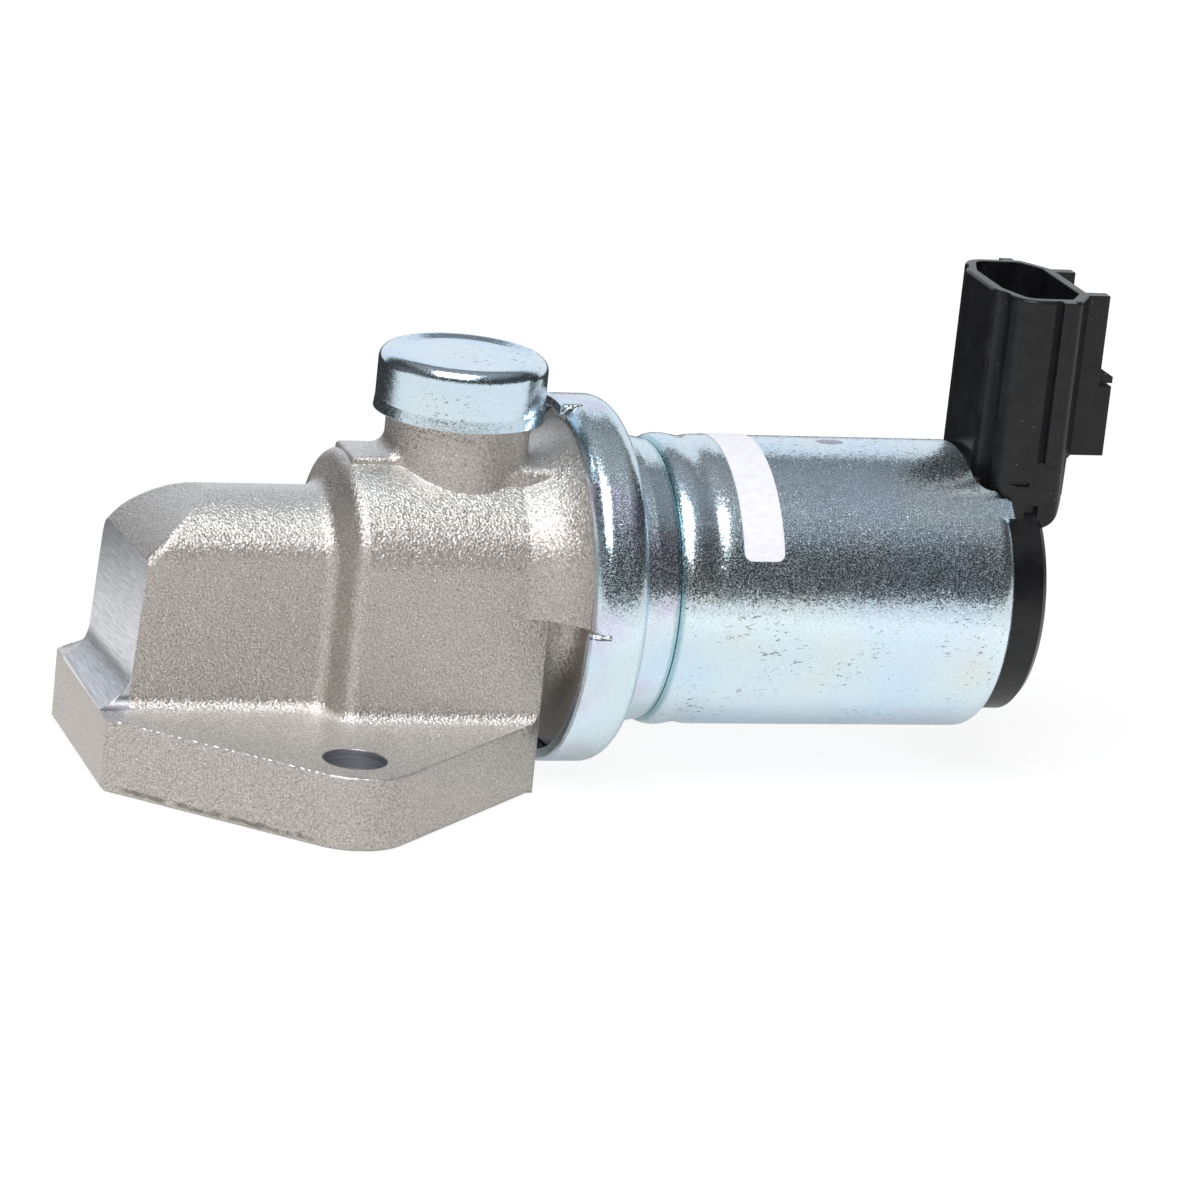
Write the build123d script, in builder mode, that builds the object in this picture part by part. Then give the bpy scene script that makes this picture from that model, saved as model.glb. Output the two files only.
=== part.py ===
from build123d import *
import os
from math import asin, atan2, cos, degrees, hypot, radians, sin, sqrt, tan

# Idle air control valve: a cast body bolted down by a diamond flange, with a solenoid crimped to it.
# Millimetres. The origin is the middle of the mounting face, +Z up out of the engine, and +X runs
# along the valve's axis from the body to the plug connector.

# General fits, the overlap that joins features of one casting, and the width of a search for edges
wall_clearance = 0.1
running_clearance = 0.05
seat_gap = 0.3
merge_depth = 1.0
tolerance = 0.01

# Valve axis
axis_height = 22.7

# Mounting flange, a six-sided diamond
flange_thickness = 8.7
flange_half_length = 26.2
flange_end_half_width = 13.8
bolt_offset = 27.64
bolt_hole_radius = 3.78
flange_tip_radius = 7.6
flange_corner_radius = 1.0
flange_foot_chamfer = 0.5

# Cast body: chamber block, and the smaller inlet block stepped in from it all round
chamber_half_width = 13.8
chamber_outer_radius = 15.1
shoulder_radius = 8.0
step_depth = 4.6
step_slope_length = 1.9
step_start = 0.7
step_blend_radius = 1.9
foot_radius = 1.7
inlet_end = -22.15
inlet_wall = 3.65
gate_yaw = 3.3
gate_lean = 0.06
mill_radius = 5.0
ramp_foot_rise = 4.0
ramp_top_x = -12.6
ramp_bulge = 0.55
ramp_edge_radius = 1.2
ramp_top_rise = 10.9
neck_half_height = 1.2
neck_radius = 13.4
flare_length = 6.8
flare_rise = 4.0
flare_middle_rise = 1.1
ridge_half_width = 4.0
ridge_height = 15.4
ridge_edge_radius = 0.6
ridge_set_back = 0.6
web_half_width = 7.5
web_edge_radius = 1.2

# Round crimp flange of the body, on the valve axis
crimp_flange_start = 30.0
crimp_flange_thickness = 4.8
crimp_flange_rise = 3.1
crimp_flange_chamfer = 1.1
crimp_flange_blend = 2.6

# Air passages
port_offset = 12.0
port_radius = 6.0
inlet_bore_radius = 7.0
seat_wall_start = 0.5
seat_wall = 3.5
chamber_bore_radius = 10.5

# Vent boss and its cap
vent_x = 16.8
boss_radius = 8.6
cap_outer_radius = 10.1
cap_flare = 0.15
cap_wall = 0.9
cap_rim_rise = 20.25
cap_height = 7.3
cap_edge_radius = 1.5
cap_dish_depth = 0.35
cap_dish_slope = 1.0
cap_flare_height = 1.4
boss_collar_height = 1.6
boss_collar_lift = 0.6
vent_slot_width = 3.0
vent_slot_bite = 0.6
vent_slot_count = 3
vent_bore_radius = 2.0
boss_foot_radius = 1.8

# Valve seat and moving valve
seat_outer_radius = 8.0
seat_bore_radius = 5.8
seat_proud = 1.0
seat_edge_chamfer = 0.3
poppet_radius = 7.8
poppet_thickness = 2.2
poppet_hub_radius = 3.6
poppet_hub_length = 4.0
face_seal_thickness = 0.8
face_seal_lap = 0.8
stem_tip_radius = 2.0
stem_radius = 2.5
stem_tip_length = 2.6
clip_groove_depth = 0.5
clip_thickness = 0.8
clip_outer_radius = 3.6
clip_gap_angle = 70
stroke = 5.0

# Return spring
spring_wire_radius = 0.4
spring_mean_radius = 5.6
spring_turns = 6

# Front shell, crimped over the body's round flange, and its neck
shell_wall = 1.4
ring_shoulder_radius = 2.6
neck_step = 0.1
neck_root_blend = 0.9
neck_taper_length = 2.8
neck_length = 6.4
joint_groove_depth = 0.6
joint_half_gap = 0.05
lip_band_offset = 1.3
axial_lip_reach = 1.3
lip_tip_thickness = 0.6
lip_tip_chamfer = 0.3
lip_notch_angle = 1.5
rolled_lip_start = 7
rolled_lip_angle = 84.5

# Solenoid can
can_outer_radius = 17.5
can_wall = 1.4
can_end = 83.8
tab_offset = 0.97
tab_angle = 9
tab_thickness = 1.0
bead_crest_offset = 2.2
bead_rise = 0.1
bead_valley_offset = 4.8
bead_valley_depth = 0.25
bead_length = 6.6
curl_radius = 2.1
cutout_length = 4.0
cutout_half_width = 9.8
cutout_flare_length = 1.8
cutout_flare_width = 12.6
cutout_corner_radius = 2.2

# Solenoid inside
plate_margin = 0.6
nose_length = 4.5
nose_edge_radius = 0.6
plate_overlap = 2.8
bush_outer_radius = 4.0
bush_overhang = 2.5
bush_edge_chamfer = 0.3
sleeve_inner_radius = 7.3
sleeve_wall = 0.6
bobbin_tube_wall = 1.0
bobbin_flange_thickness = 1.2
winding_inset = 0.8
armature_length = 19.9
armature_gap = 2.6
core_stop_gap = 0.5
core_spigot_radius = 4.9
shim_thickness = 0.3
armature_chamfer = 0.4
rear_plate_set_back = 5.3
window_margin = 0.5
rear_plate_thickness = 2.0
seal_groove_rise = 0.7
seal_groove_depth = 1.65
seal_cord_radius = 0.82
seal_groove_half_width = 1.0

# Connector housing
disc_reach = 4.6
disc_edge_radius = 0.7
retainer_margin = 0.15
retainer_thickness = 0.8
tower_depth = 11.9
tower_half_width = 10.6
tower_left_half_width = 4.6
tower_right_half_width = 6.6
tower_left_taper = 2.0
tower_right_taper = 2.6
tower_rise = 38.3
tower_foot_rise = 9.9
tower_foot_radius = 4.0
tower_corner_radius = 1.5
tower_front_radius = 3.0
tower_channel_share = 0.37
tower_channel_radius = 2.4
tower_channel_depth = 0.45
tower_back_step = 1.2
tower_back_draft = 0.4
foot_notch_offset = 6.0
foot_notch_length = 1.7
foot_notch_depth = 0.8
foot_notch_height = 3.0
tower_rim_radius = 0.4
socket_front_radius = 1.7
socket_corner_radius = 0.6
socket_wall = 1.3
socket_depth = 15.5
key_rib_offset = 6.8
key_rib_width = 1.6
key_rib_depth = 0.7
key_rib_length = 20.0
key_groove_width = 0.7
key_groove_depth = 0.4
rail_offset = 5.8
rail_thickness = 1.6
rail_length = 20.0
rail_reach = 2.6
rail_lower_reach = 4.2
rail_step_drop = 11.3
catch_reach = 4.6
catch_drop = 11.1
catch_height = 3.4
catch_nose = 0.8
tower_step_drop = 23.0
tower_step_width = 0.5
tower_step_offset = 3.4
tower_step_length = 4.0

# Plug terminals
terminal_pitch = 5.6
terminal_width = 2.0
terminal_thickness = 0.7
terminal_offset = 5.7
terminal_recess = 4.0
terminal_foot_rise = 10.9
terminal_tip_chamfer = 0.25

# Blank label
label_gap = 1.1
label_width = 5.0
label_thickness = 0.12
label_first_angle = 62
label_last_angle = 156.5
label_corner_radius = 1.0

os.makedirs("parts", exist_ok=True)

axis_origin = (0, 0, axis_height)
valve_axis = Axis(axis_origin, (1, 0, 0))
axis_plane = Plane(origin=axis_origin, x_dir=(1, 0, 0), z_dir=(0, -1, 0))
side_plane = Plane.XZ
gate_turn = radians(gate_yaw)
gate_plane = Plane(
    origin=(0, 0, 0),
    x_dir=(cos(gate_turn), sin(gate_turn), 0),
    z_dir=(sin(gate_turn), -cos(gate_turn), 0),
)
cross_plane = Plane(origin=axis_origin, x_dir=(0, 1, 0), z_dir=(1, 0, 0))


def outline(*points):
    """A closed outline beside the valve axis, each point as (place along the axis, radius)."""
    with BuildSketch(axis_plane) as shape:
        with BuildLine():
            Polyline(*points, close=True)
        make_face()
    return shape.sketch


def band(start, end, inner, outer):
    """The outline of a plain ring about the valve axis."""
    return outline((start, inner), (end, inner), (end, outer), (start, outer))


def chamber_section(inset, depth=axis_height):
    """Section of a body block: flat sides that end at a depth below the axis, and a round top."""
    half_width = chamber_half_width - inset
    top_radius = chamber_outer_radius - inset
    with BuildSketch(cross_plane) as shape:
        with BuildLine():
            rise = sqrt(top_radius**2 - half_width**2)
            Polyline(
                (-half_width, rise),
                (-half_width, inset - depth),
                (half_width, inset - depth),
                (half_width, rise),
            )
            ThreePointArc((half_width, rise), (0, top_radius), (-half_width, rise))
        make_face()
        shoulders = shape.vertices().filter_by_position(Axis.Y, 0, top_radius)
        fillet(shoulders, shoulder_radius - inset)
    return shape.sketch


# Places worked out from the sizes above
clear = 60.0
step_end = step_start + step_slope_length
chamber_end = flange_half_length
ridge_top = axis_height + ridge_height
seat_wall_end = seat_wall_start + seat_wall
seat_end = seat_wall_end + seat_proud
inlet_bore_end = inlet_end + inlet_wall
ramp_foot_height = axis_height + ramp_foot_rise
ramp_top = axis_height + ramp_top_rise
side_reach = hypot(flange_half_length, bolt_offset - flange_end_half_width)
side_angle = atan2(bolt_offset - flange_end_half_width, flange_half_length)
side_slope = tan(side_angle + asin(flange_tip_radius / side_reach))
flange_tip_y = flange_end_half_width + flange_half_length * side_slope
crimp_flange_end = crimp_flange_start + crimp_flange_thickness
crimp_flange_radius = can_outer_radius + crimp_flange_rise
seal_groove_mean_radius = can_outer_radius + seal_groove_rise
flare_start = crimp_flange_start - flare_length

cap_rim_height = axis_height + cap_rim_rise
cap_inner_radius = cap_outer_radius - cap_wall
cap_top = cap_rim_height + cap_height
boss_collar_bottom = cap_rim_height + boss_collar_lift
boss_top = boss_collar_bottom + boss_collar_height

poppet_start = seat_end + seat_gap
poppet_end = poppet_start + poppet_thickness
hub_end = poppet_end + poppet_hub_length
nose_start = crimp_flange_end - nose_length
nose_radius = chamber_bore_radius - wall_clearance

ring_radius = crimp_flange_radius + wall_clearance + shell_wall
ring_end = crimp_flange_end + shell_wall
groove_x = crimp_flange_end + neck_length
neck_taper_start = groove_x - neck_taper_length
neck_outer_radius = can_outer_radius - neck_step
groove_radius = can_outer_radius - joint_groove_depth
lip_band_start = crimp_flange_start + lip_band_offset
axial_lip_tip = crimp_flange_start - axial_lip_reach

can_inner_radius = can_outer_radius - can_wall
curl_start = can_end - curl_radius
curl_edge_radius = can_outer_radius - curl_radius
bead_crest_x = groove_x + bead_crest_offset
bead_valley_x = groove_x + bead_valley_offset
bead_end = groove_x + bead_length
cutout_start = can_end - cutout_length
cutout_flare_start = can_end - cutout_flare_length
tab_first_angle = degrees(asin((cutout_half_width + tab_offset) / can_outer_radius))
label_start = bead_end + label_gap

plate_end = groove_x + plate_overlap
plate_outer_radius = can_inner_radius - plate_margin
plate_bore_radius = plate_outer_radius + wall_clearance
bobbin_flange_radius = plate_outer_radius - wall_clearance
winding_outer_radius = bobbin_flange_radius - winding_inset
sleeve_outer_radius = sleeve_inner_radius + sleeve_wall
armature_radius = sleeve_inner_radius - running_clearance
armature_start = plate_end + armature_gap
armature_end = armature_start + armature_length
core_start = armature_end + stroke + core_stop_gap
rear_plate_start = can_end - rear_plate_set_back
rear_plate_end = rear_plate_start + rear_plate_thickness

disc_end = can_end + disc_reach
disc_radius = curl_edge_radius - running_clearance
retainer_radius = can_inner_radius - retainer_margin
tower_left = rear_plate_end + wall_clearance
tower_right = tower_left + tower_depth
tower_top = axis_height + tower_rise
tower_foot = axis_height + tower_foot_rise
foot_notch_x = tower_left + foot_notch_offset
channel_rise = tower_half_width - tower_left_half_width
channel_run = hypot(tower_left_taper, channel_rise)
channel_out = (tower_channel_radius - tower_channel_depth) / channel_run
channel_x = tower_left + tower_channel_share * tower_left_taper - channel_out * channel_rise
channel_y = tower_left_half_width + tower_channel_share * channel_rise + channel_out * tower_left_taper
tower_back_foot = tower_right - tower_back_step - tower_back_draft
socket_floor = tower_top - socket_depth
key_rib_x = tower_left + key_rib_offset
key_rib_bottom = tower_top - key_rib_length
rail_top = tower_top - wall_clearance
rail_bottom = tower_top - rail_length
rail_step_height = tower_top - rail_step_drop
catch_bottom = tower_top - catch_drop
tower_step_height = tower_top - tower_step_drop
tower_step_middle = tower_left + tower_step_offset
terminal_x = tower_left + terminal_offset
terminal_top = tower_top - terminal_recess
terminal_foot = axis_height + terminal_foot_rise


# Cast body
def edges_above_flange(builder):
    """The edges of the blocks, without those on or in the flange."""
    return builder.edges().filter_by(lambda edge: edge.center().Z > flange_thickness + tolerance)


def section_at(place, inset=0, depth=axis_height):
    """The body section moved along the valve axis."""
    return chamber_section(inset, depth).moved(Location((place, 0, 0)))


with BuildPart() as valve_body:
    # A slab stands in for the flange until the foot blends are made
    with BuildSketch(Plane.XY):
        Rectangle(2 * clear, 2 * clear)
    extrude(amount=flange_thickness)
    extrude(section_at(step_start, step_depth), amount=-clear / 2)
    loft([section_at(step_start, step_depth), section_at(step_end)], ruled=True)
    extrude(section_at(step_end), amount=clear / 2)
    for step_x in (step_start, step_end):
        step_edges = edges_above_flange(valve_body).filter_by_position(Axis.X, step_x, step_x)
        fillet(step_edges, step_blend_radius)
    foot = valve_body.edges().filter_by_position(Axis.Z, flange_thickness, flange_thickness)
    foot = foot.filter_by(lambda edge: abs(edge.center().Y) < chamber_half_width + foot_radius)
    fillet(foot, foot_radius)

    # The diamond outline, its slanting sides tangent to a round about each bolt hole
    with BuildSketch(Plane.XY) as diamond:
        with BuildLine():
            Polyline(
                (flange_half_length, flange_end_half_width),
                (0, flange_tip_y),
                (-flange_half_length, flange_end_half_width),
                (-flange_half_length, -flange_end_half_width),
                (0, -flange_tip_y),
                (flange_half_length, -flange_end_half_width),
                close=True,
            )
        make_face()
        tips = diamond.vertices().filter_by(lambda vertex: abs(vertex.X) < flange_corner_radius)
        fillet(tips, flange_tip_radius)
        ends = diamond.vertices().filter_by(lambda vertex: abs(vertex.X) > flange_half_length - tolerance)
        fillet(ends, flange_corner_radius)
    extrude(amount=clear, mode=Mode.INTERSECT)
    chamfer(valve_body.edges().filter_by_position(Axis.Z, 0, 0), flange_foot_chamfer)

    # Gate end: a cast ramp over a milled face that runs out onto the flange. The mill was set a
    # little askew, so the face is turned about Z and leans out towards its foot
    with BuildSketch(gate_plane) as gate:
        mill_foot_x = inlet_end - gate_lean * (ramp_foot_height - flange_thickness)
        with BuildLine():
            g1 = Polyline(
                (inlet_end, ramp_foot_height),
                (mill_foot_x, flange_thickness),
                (-clear, flange_thickness),
                (-clear, clear),
                (ramp_top_x, clear),
                (ramp_top_x, ramp_top),
            )
            ramp_middle_x = (inlet_end + ramp_top_x) / 2 - ramp_bulge
            ramp_middle_z = (ramp_foot_height + ramp_top) / 2 + ramp_bulge
            ThreePointArc(g1 @ 1, (ramp_middle_x, ramp_middle_z), g1 @ 0)
        make_face()
        fillet(gate.vertices().filter_by(lambda v: abs(v.X - mill_foot_x) < tolerance), mill_radius)
    extrude(amount=clear, both=True, mode=Mode.SUBTRACT)
    ramp_rim = valve_body.edges().filter_by(GeomType.BSPLINE)
    ramp_rim = ramp_rim.filter_by(lambda edge: (edge @ 0.5).X < ramp_top_x + merge_depth)
    ramp_rim = ramp_rim.filter_by(lambda edge: (edge @ 0.5).Z > ramp_foot_height + tolerance)
    fillet(ramp_rim, ramp_edge_radius)

    # The upper half of the chamber block runs on and flares out to the round crimp flange, the lower
    # half is a neck
    run_start = chamber_end - merge_depth
    extrude(section_at(run_start), amount=crimp_flange_start - run_start)
    flare = []
    for place, rise in ((0, 0), (flare_length / 2, flare_middle_rise), (flare_length, flare_rise)):
        flare.append(section_at(flare_start + place, -rise, neck_half_height - rise))
    loft(flare)
    with BuildSketch(side_plane):
        with Locations((chamber_end, -clear)):
            Rectangle(clear, clear + axis_height - neck_half_height, align=(Align.MIN, Align.MIN))
    extrude(amount=clear, both=True, mode=Mode.SUBTRACT)
    with BuildSketch(axis_plane):
        with BuildLine():
            n1 = Polyline((crimp_flange_start, 0), (run_start, 0), (run_start, neck_radius))
            n2 = Line(n1 @ 1, (crimp_flange_start - crimp_flange_blend, neck_radius))
            n3 = JernArc(n2 @ 1, (1, 0), crimp_flange_blend, 90)
            Line(n3 @ 1, n1 @ 0)
        make_face()
    revolve(axis=valve_axis)
    revolve(
        outline(
            (crimp_flange_start, 0),
            (crimp_flange_end, 0),
            (crimp_flange_end, crimp_flange_radius),
            (crimp_flange_start + crimp_flange_chamfer, crimp_flange_radius),
            (crimp_flange_start, crimp_flange_radius - crimp_flange_chamfer),
        ),
        axis=valve_axis,
    )

    # Flat pad along the top, wider from the vent boss on, where it runs into the flare
    with BuildSketch(Plane.XY.offset(axis_height)):
        with BuildLine():
            Polyline(
                (step_end + ridge_set_back, 0),
                (step_end + ridge_set_back, -ridge_half_width),
                (vent_x, -ridge_half_width),
                (vent_x, -web_half_width),
                (crimp_flange_start, -web_half_width),
                (crimp_flange_start, 0),
            )
            mirror(about=Plane.XZ)
        make_face()
    extrude(amount=ridge_height)
    rims = valve_body.edges().filter_by_position(Axis.Z, ridge_top, ridge_top).filter_by(GeomType.LINE)
    fillet(rims.filter_by(lambda edge: edge.center().X < vent_x - tolerance), ridge_edge_radius)
    rims = valve_body.edges().filter_by_position(Axis.Z, ridge_top, ridge_top).filter_by(GeomType.LINE)
    fillet(rims.filter_by(lambda edge: edge.center().X > vent_x + tolerance), web_edge_radius)

    # Vent boss, rounded into the pad, with a collar that the cap is pressed on
    with BuildSketch(Plane.XY.offset(axis_height)):
        with Locations((vent_x, 0)):
            Circle(boss_radius)
    extrude(amount=boss_top - axis_height)
    boss_foot = valve_body.edges().filter_by_position(Axis.Z, ridge_top, ridge_top)
    fillet(boss_foot.filter_by(GeomType.CIRCLE), boss_foot_radius)
    with BuildSketch(Plane.XY.offset(boss_collar_bottom)):
        with Locations((vent_x, 0)):
            Circle(cap_inner_radius)
    extrude(amount=boss_collar_height)
    with BuildSketch(Plane.XY.offset(boss_collar_bottom)):
        with Locations((vent_x, 0)):
            with PolarLocations(cap_inner_radius, vent_slot_count):
                Rectangle(2 * (cap_inner_radius - boss_radius + vent_slot_bite), vent_slot_width)
    extrude(amount=boss_collar_height, mode=Mode.SUBTRACT)

    # Stepped bore on the valve axis: inlet, seat and chamber
    revolve(
        outline(
            (inlet_bore_end, 0),
            (inlet_bore_end, inlet_bore_radius),
            (seat_wall_start, inlet_bore_radius),
            (seat_wall_start, seat_outer_radius),
            (seat_wall_end, seat_outer_radius),
            (seat_wall_end, chamber_bore_radius),
            (crimp_flange_end, chamber_bore_radius),
            (crimp_flange_end, 0),
        ),
        axis=valve_axis,
        mode=Mode.SUBTRACT,
    )

    # Air ports up from the mounting face, bolt holes and the vent passage
    with BuildSketch(Plane.XY):
        with Locations((-port_offset, 0), (port_offset, 0)):
            Circle(port_radius)
    extrude(amount=axis_height, mode=Mode.SUBTRACT)
    with BuildSketch(Plane.XY):
        with Locations((0, -bolt_offset), (0, bolt_offset)):
            Circle(bolt_hole_radius)
    extrude(amount=flange_thickness, mode=Mode.SUBTRACT)
    with BuildSketch(Plane.XY.offset(axis_height)):
        with Locations((vent_x, 0)):
            Circle(vent_bore_radius)
    extrude(amount=boss_top - axis_height, mode=Mode.SUBTRACT)

    # Groove for the body seal in the crimp flange's outer face
    revolve(
        band(
            crimp_flange_end - seal_groove_depth,
            crimp_flange_end,
            seal_groove_mean_radius - seal_groove_half_width,
            seal_groove_mean_radius + seal_groove_half_width,
        ),
        axis=valve_axis,
        mode=Mode.SUBTRACT,
    )
valve_body.part.label = "valve_body"
export_step(valve_body.part, "parts/valve_body.step")


# Vent cap, a drawn steel cup over the boss, and the filter puck under it
dish_edge = cap_inner_radius - cap_edge_radius
with BuildPart() as vent_cap:
    with BuildSketch(Plane.XZ.shift_origin((vent_x, 0, 0))):
        with BuildLine():
            Polyline(
                (0, cap_top - cap_wall - cap_dish_depth),
                (dish_edge - cap_dish_slope, cap_top - cap_wall - cap_dish_depth),
                (dish_edge, cap_top - cap_wall),
                (cap_inner_radius, cap_top - cap_wall),
                (cap_inner_radius, cap_rim_height),
                (cap_outer_radius + cap_flare, cap_rim_height),
                (cap_outer_radius, cap_rim_height + cap_flare_height),
                (cap_outer_radius, cap_top),
                (dish_edge + cap_wall - wall_clearance, cap_top),
                (dish_edge + cap_wall - wall_clearance - cap_dish_slope, cap_top - cap_dish_depth),
                (0, cap_top - cap_dish_depth),
                close=True,
            )
        make_face()
    revolve(axis=Axis((vent_x, 0, 0), (0, 0, 1)))
    outer_edge = vent_cap.edges().filter_by(GeomType.CIRCLE).filter_by_position(Axis.Z, cap_top, cap_top)
    fillet(outer_edge.sort_by(SortBy.RADIUS)[-1:], cap_edge_radius)
vent_cap.part.label = "vent_cap"
export_step(vent_cap.part, "parts/vent_cap.step")

with BuildPart() as vent_filter:
    with BuildSketch(Plane.XY.offset(boss_top)):
        with Locations((vent_x, 0)):
            Circle(dish_edge - cap_dish_slope - wall_clearance)
    extrude(amount=cap_top - cap_wall - cap_dish_depth - boss_top)
vent_filter.part.label = "vent_filter"
export_step(vent_filter.part, "parts/vent_filter.step")


# Valve seat pressed into the wall between the two chambers
with BuildPart() as valve_seat:
    revolve(band(seat_wall_start, seat_end, seat_bore_radius, seat_outer_radius), axis=valve_axis)
    chamfer(valve_seat.edges().filter_by_position(Axis.X, seat_end, seat_end), seat_edge_chamfer)
valve_seat.part.label = "valve_seat"
export_step(valve_seat.part, "parts/valve_seat.step")


# Poppet: a turned disc with a hub, and a rubber ring bonded to the face that closes on the seat
seal_inner = seat_bore_radius - face_seal_lap
with BuildPart() as valve_poppet:
    revolve(
        outline(
            (poppet_start, stem_tip_radius),
            (poppet_start, seal_inner),
            (poppet_start + face_seal_thickness, seal_inner),
            (poppet_start + face_seal_thickness, poppet_radius),
            (poppet_end, poppet_radius),
            (poppet_end, poppet_hub_radius),
            (hub_end, poppet_hub_radius),
            (hub_end, stem_tip_radius),
        ),
        axis=valve_axis,
    )
valve_poppet.part.label = "valve_poppet"
export_step(valve_poppet.part, "parts/valve_poppet.step")

with BuildPart() as face_seal:
    revolve(
        band(poppet_start, poppet_start + face_seal_thickness, seal_inner, poppet_radius),
        axis=valve_axis,
    )
face_seal.part.label = "face_seal"
export_step(face_seal.part, "parts/face_seal.step")


# Stem, stepped down to a tip for the poppet, with a groove for its clip
clip_start = poppet_start - clip_thickness
tip_end = clip_start - stem_tip_length
clip_inner_radius = stem_tip_radius - clip_groove_depth
with BuildPart() as valve_stem:
    revolve(
        outline(
            (tip_end, 0),
            (tip_end, stem_tip_radius),
            (clip_start, stem_tip_radius),
            (clip_start, clip_inner_radius),
            (poppet_start, clip_inner_radius),
            (poppet_start, stem_tip_radius),
            (hub_end, stem_tip_radius),
            (hub_end, stem_radius),
            (armature_end, stem_radius),
            (armature_end, 0),
        ),
        axis=valve_axis,
    )
    chamfer(valve_stem.edges().filter_by_position(Axis.X, tip_end, tip_end), clip_groove_depth)
valve_stem.part.label = "valve_stem"
export_step(valve_stem.part, "parts/valve_stem.step")

with BuildPart() as stem_clip:
    revolve(band(clip_start, poppet_start, clip_inner_radius, clip_outer_radius), axis=valve_axis)
    with BuildSketch(cross_plane.offset(clip_start)):
        mouth = 2 * clip_outer_radius
        with BuildLine():
            half_mouth = radians(clip_gap_angle / 2)
            Polyline(
                (0, 0),
                (mouth * sin(half_mouth), mouth * cos(half_mouth)),
                (-mouth * sin(half_mouth), mouth * cos(half_mouth)),
                close=True,
            )
        make_face()
    extrude(amount=clip_thickness, mode=Mode.SUBTRACT)
stem_clip.part.label = "stem_clip"
export_step(stem_clip.part, "parts/stem_clip.step")


# Return spring, between the poppet and the nose of the front plate
spring_start = poppet_end + spring_wire_radius + wall_clearance
spring_end = nose_start - spring_wire_radius - wall_clearance
with BuildPart() as return_spring:
    with BuildLine() as coil:
        Helix(
            pitch=(spring_end - spring_start) / spring_turns,
            height=spring_end - spring_start,
            radius=spring_mean_radius,
            center=(spring_start, 0, axis_height),
            direction=(1, 0, 0),
        )
    with BuildSketch(Plane(origin=coil.line @ 0, z_dir=coil.line % 0)):
        Circle(spring_wire_radius)
    sweep(path=coil.line, is_frenet=True)
return_spring.part.label = "return_spring"
export_step(return_spring.part, "parts/return_spring.step")


# Front plate: the pole ring that closes the chamber and carries the stem's bush
with BuildPart() as front_plate:
    revolve(
        outline(
            (nose_start, bush_outer_radius),
            (nose_start, nose_radius),
            (crimp_flange_end, nose_radius),
            (crimp_flange_end, plate_outer_radius),
            (plate_end, plate_outer_radius),
            (plate_end, bush_outer_radius),
        ),
        axis=valve_axis,
    )
    nose_edges = front_plate.edges().filter_by_position(Axis.X, nose_start, nose_start)
    fillet(nose_edges.sort_by(SortBy.RADIUS)[-1:], nose_edge_radius)
front_plate.part.label = "front_plate"
export_step(front_plate.part, "parts/front_plate.step")

bush_start = nose_start - bush_overhang
with BuildPart() as guide_bush:
    revolve(band(bush_start, plate_end, stem_radius + running_clearance, bush_outer_radius), axis=valve_axis)
    chamfer(guide_bush.edges().filter_by_position(Axis.X, bush_start, bush_start), bush_edge_chamfer)
guide_bush.part.label = "guide_bush"
export_step(guide_bush.part, "parts/guide_bush.step")

with BuildPart() as body_seal:
    with BuildSketch(axis_plane):
        with Locations((crimp_flange_end - seal_groove_depth / 2, seal_groove_mean_radius)):
            Circle(seal_cord_radius)
    revolve(axis=valve_axis)
body_seal.part.label = "body_seal"
export_step(body_seal.part, "parts/body_seal.step")


# Front shell: a stepped steel cup whose lip is rolled over the body's round flange in two
# stretches and left straight in the two between, with a notch at each change
def turned_from(shape, first_angle, sweep_angle):
    """An outline turned about the valve axis, from first_angle past the top towards the front."""
    start = shape.rotate(valve_axis, first_angle)
    return revolve(start, axis=valve_axis, revolution_arc=sweep_angle, mode=Mode.PRIVATE)


lip_inner_radius = crimp_flange_radius + wall_clearance
lip_roll_x = crimp_flange_start - wall_clearance
lip_roll_radius = lip_inner_radius - crimp_flange_chamfer
with BuildSketch(axis_plane) as rolled_lip:
    with BuildLine():
        inner_line = Polyline(
            (lip_band_start, ring_radius),
            (lip_band_start, lip_inner_radius),
            (lip_roll_x + crimp_flange_chamfer, lip_inner_radius),
            (lip_roll_x, lip_roll_radius),
            (lip_roll_x - lip_tip_thickness, lip_roll_radius + lip_tip_thickness),
        )
        TangentArc(inner_line @ 0, inner_line @ 1, tangent=(-1, 0))
    make_face()
axial_lip = outline(
    (lip_band_start, lip_inner_radius),
    (axial_lip_tip, lip_inner_radius),
    (axial_lip_tip, ring_radius - lip_tip_chamfer),
    (axial_lip_tip + lip_tip_chamfer, ring_radius),
    (lip_band_start, ring_radius),
)
axial_lip_angle = 180 - rolled_lip_angle - 2 * lip_notch_angle

with BuildPart() as front_shell:
    revolve(
        outline(
            (lip_band_start, lip_inner_radius),
            (crimp_flange_end, lip_inner_radius),
            (crimp_flange_end, plate_bore_radius),
            (groove_x - joint_half_gap, plate_bore_radius),
            (groove_x - joint_half_gap, groove_radius),
            (neck_taper_start, neck_outer_radius),
            (ring_end, neck_outer_radius),
            (ring_end, ring_radius),
            (lip_band_start, ring_radius),
        ),
        axis=valve_axis,
    )
    for end, radius in ((-1, ring_shoulder_radius), (0, neck_root_blend)):
        face_edges = front_shell.edges().filter_by_position(Axis.X, ring_end, ring_end)
        fillet(face_edges.sort_by(SortBy.RADIUS)[end], radius)
    for half_turn in (0, 180):
        rolled_from = half_turn + rolled_lip_start
        axial_from = rolled_from + rolled_lip_angle + lip_notch_angle
        add(turned_from(rolled_lip.sketch, rolled_from, rolled_lip_angle))
        add(turned_from(axial_lip, axial_from, axial_lip_angle))
front_shell.part.label = "front_shell"
export_step(front_shell.part, "parts/front_shell.step")


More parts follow.
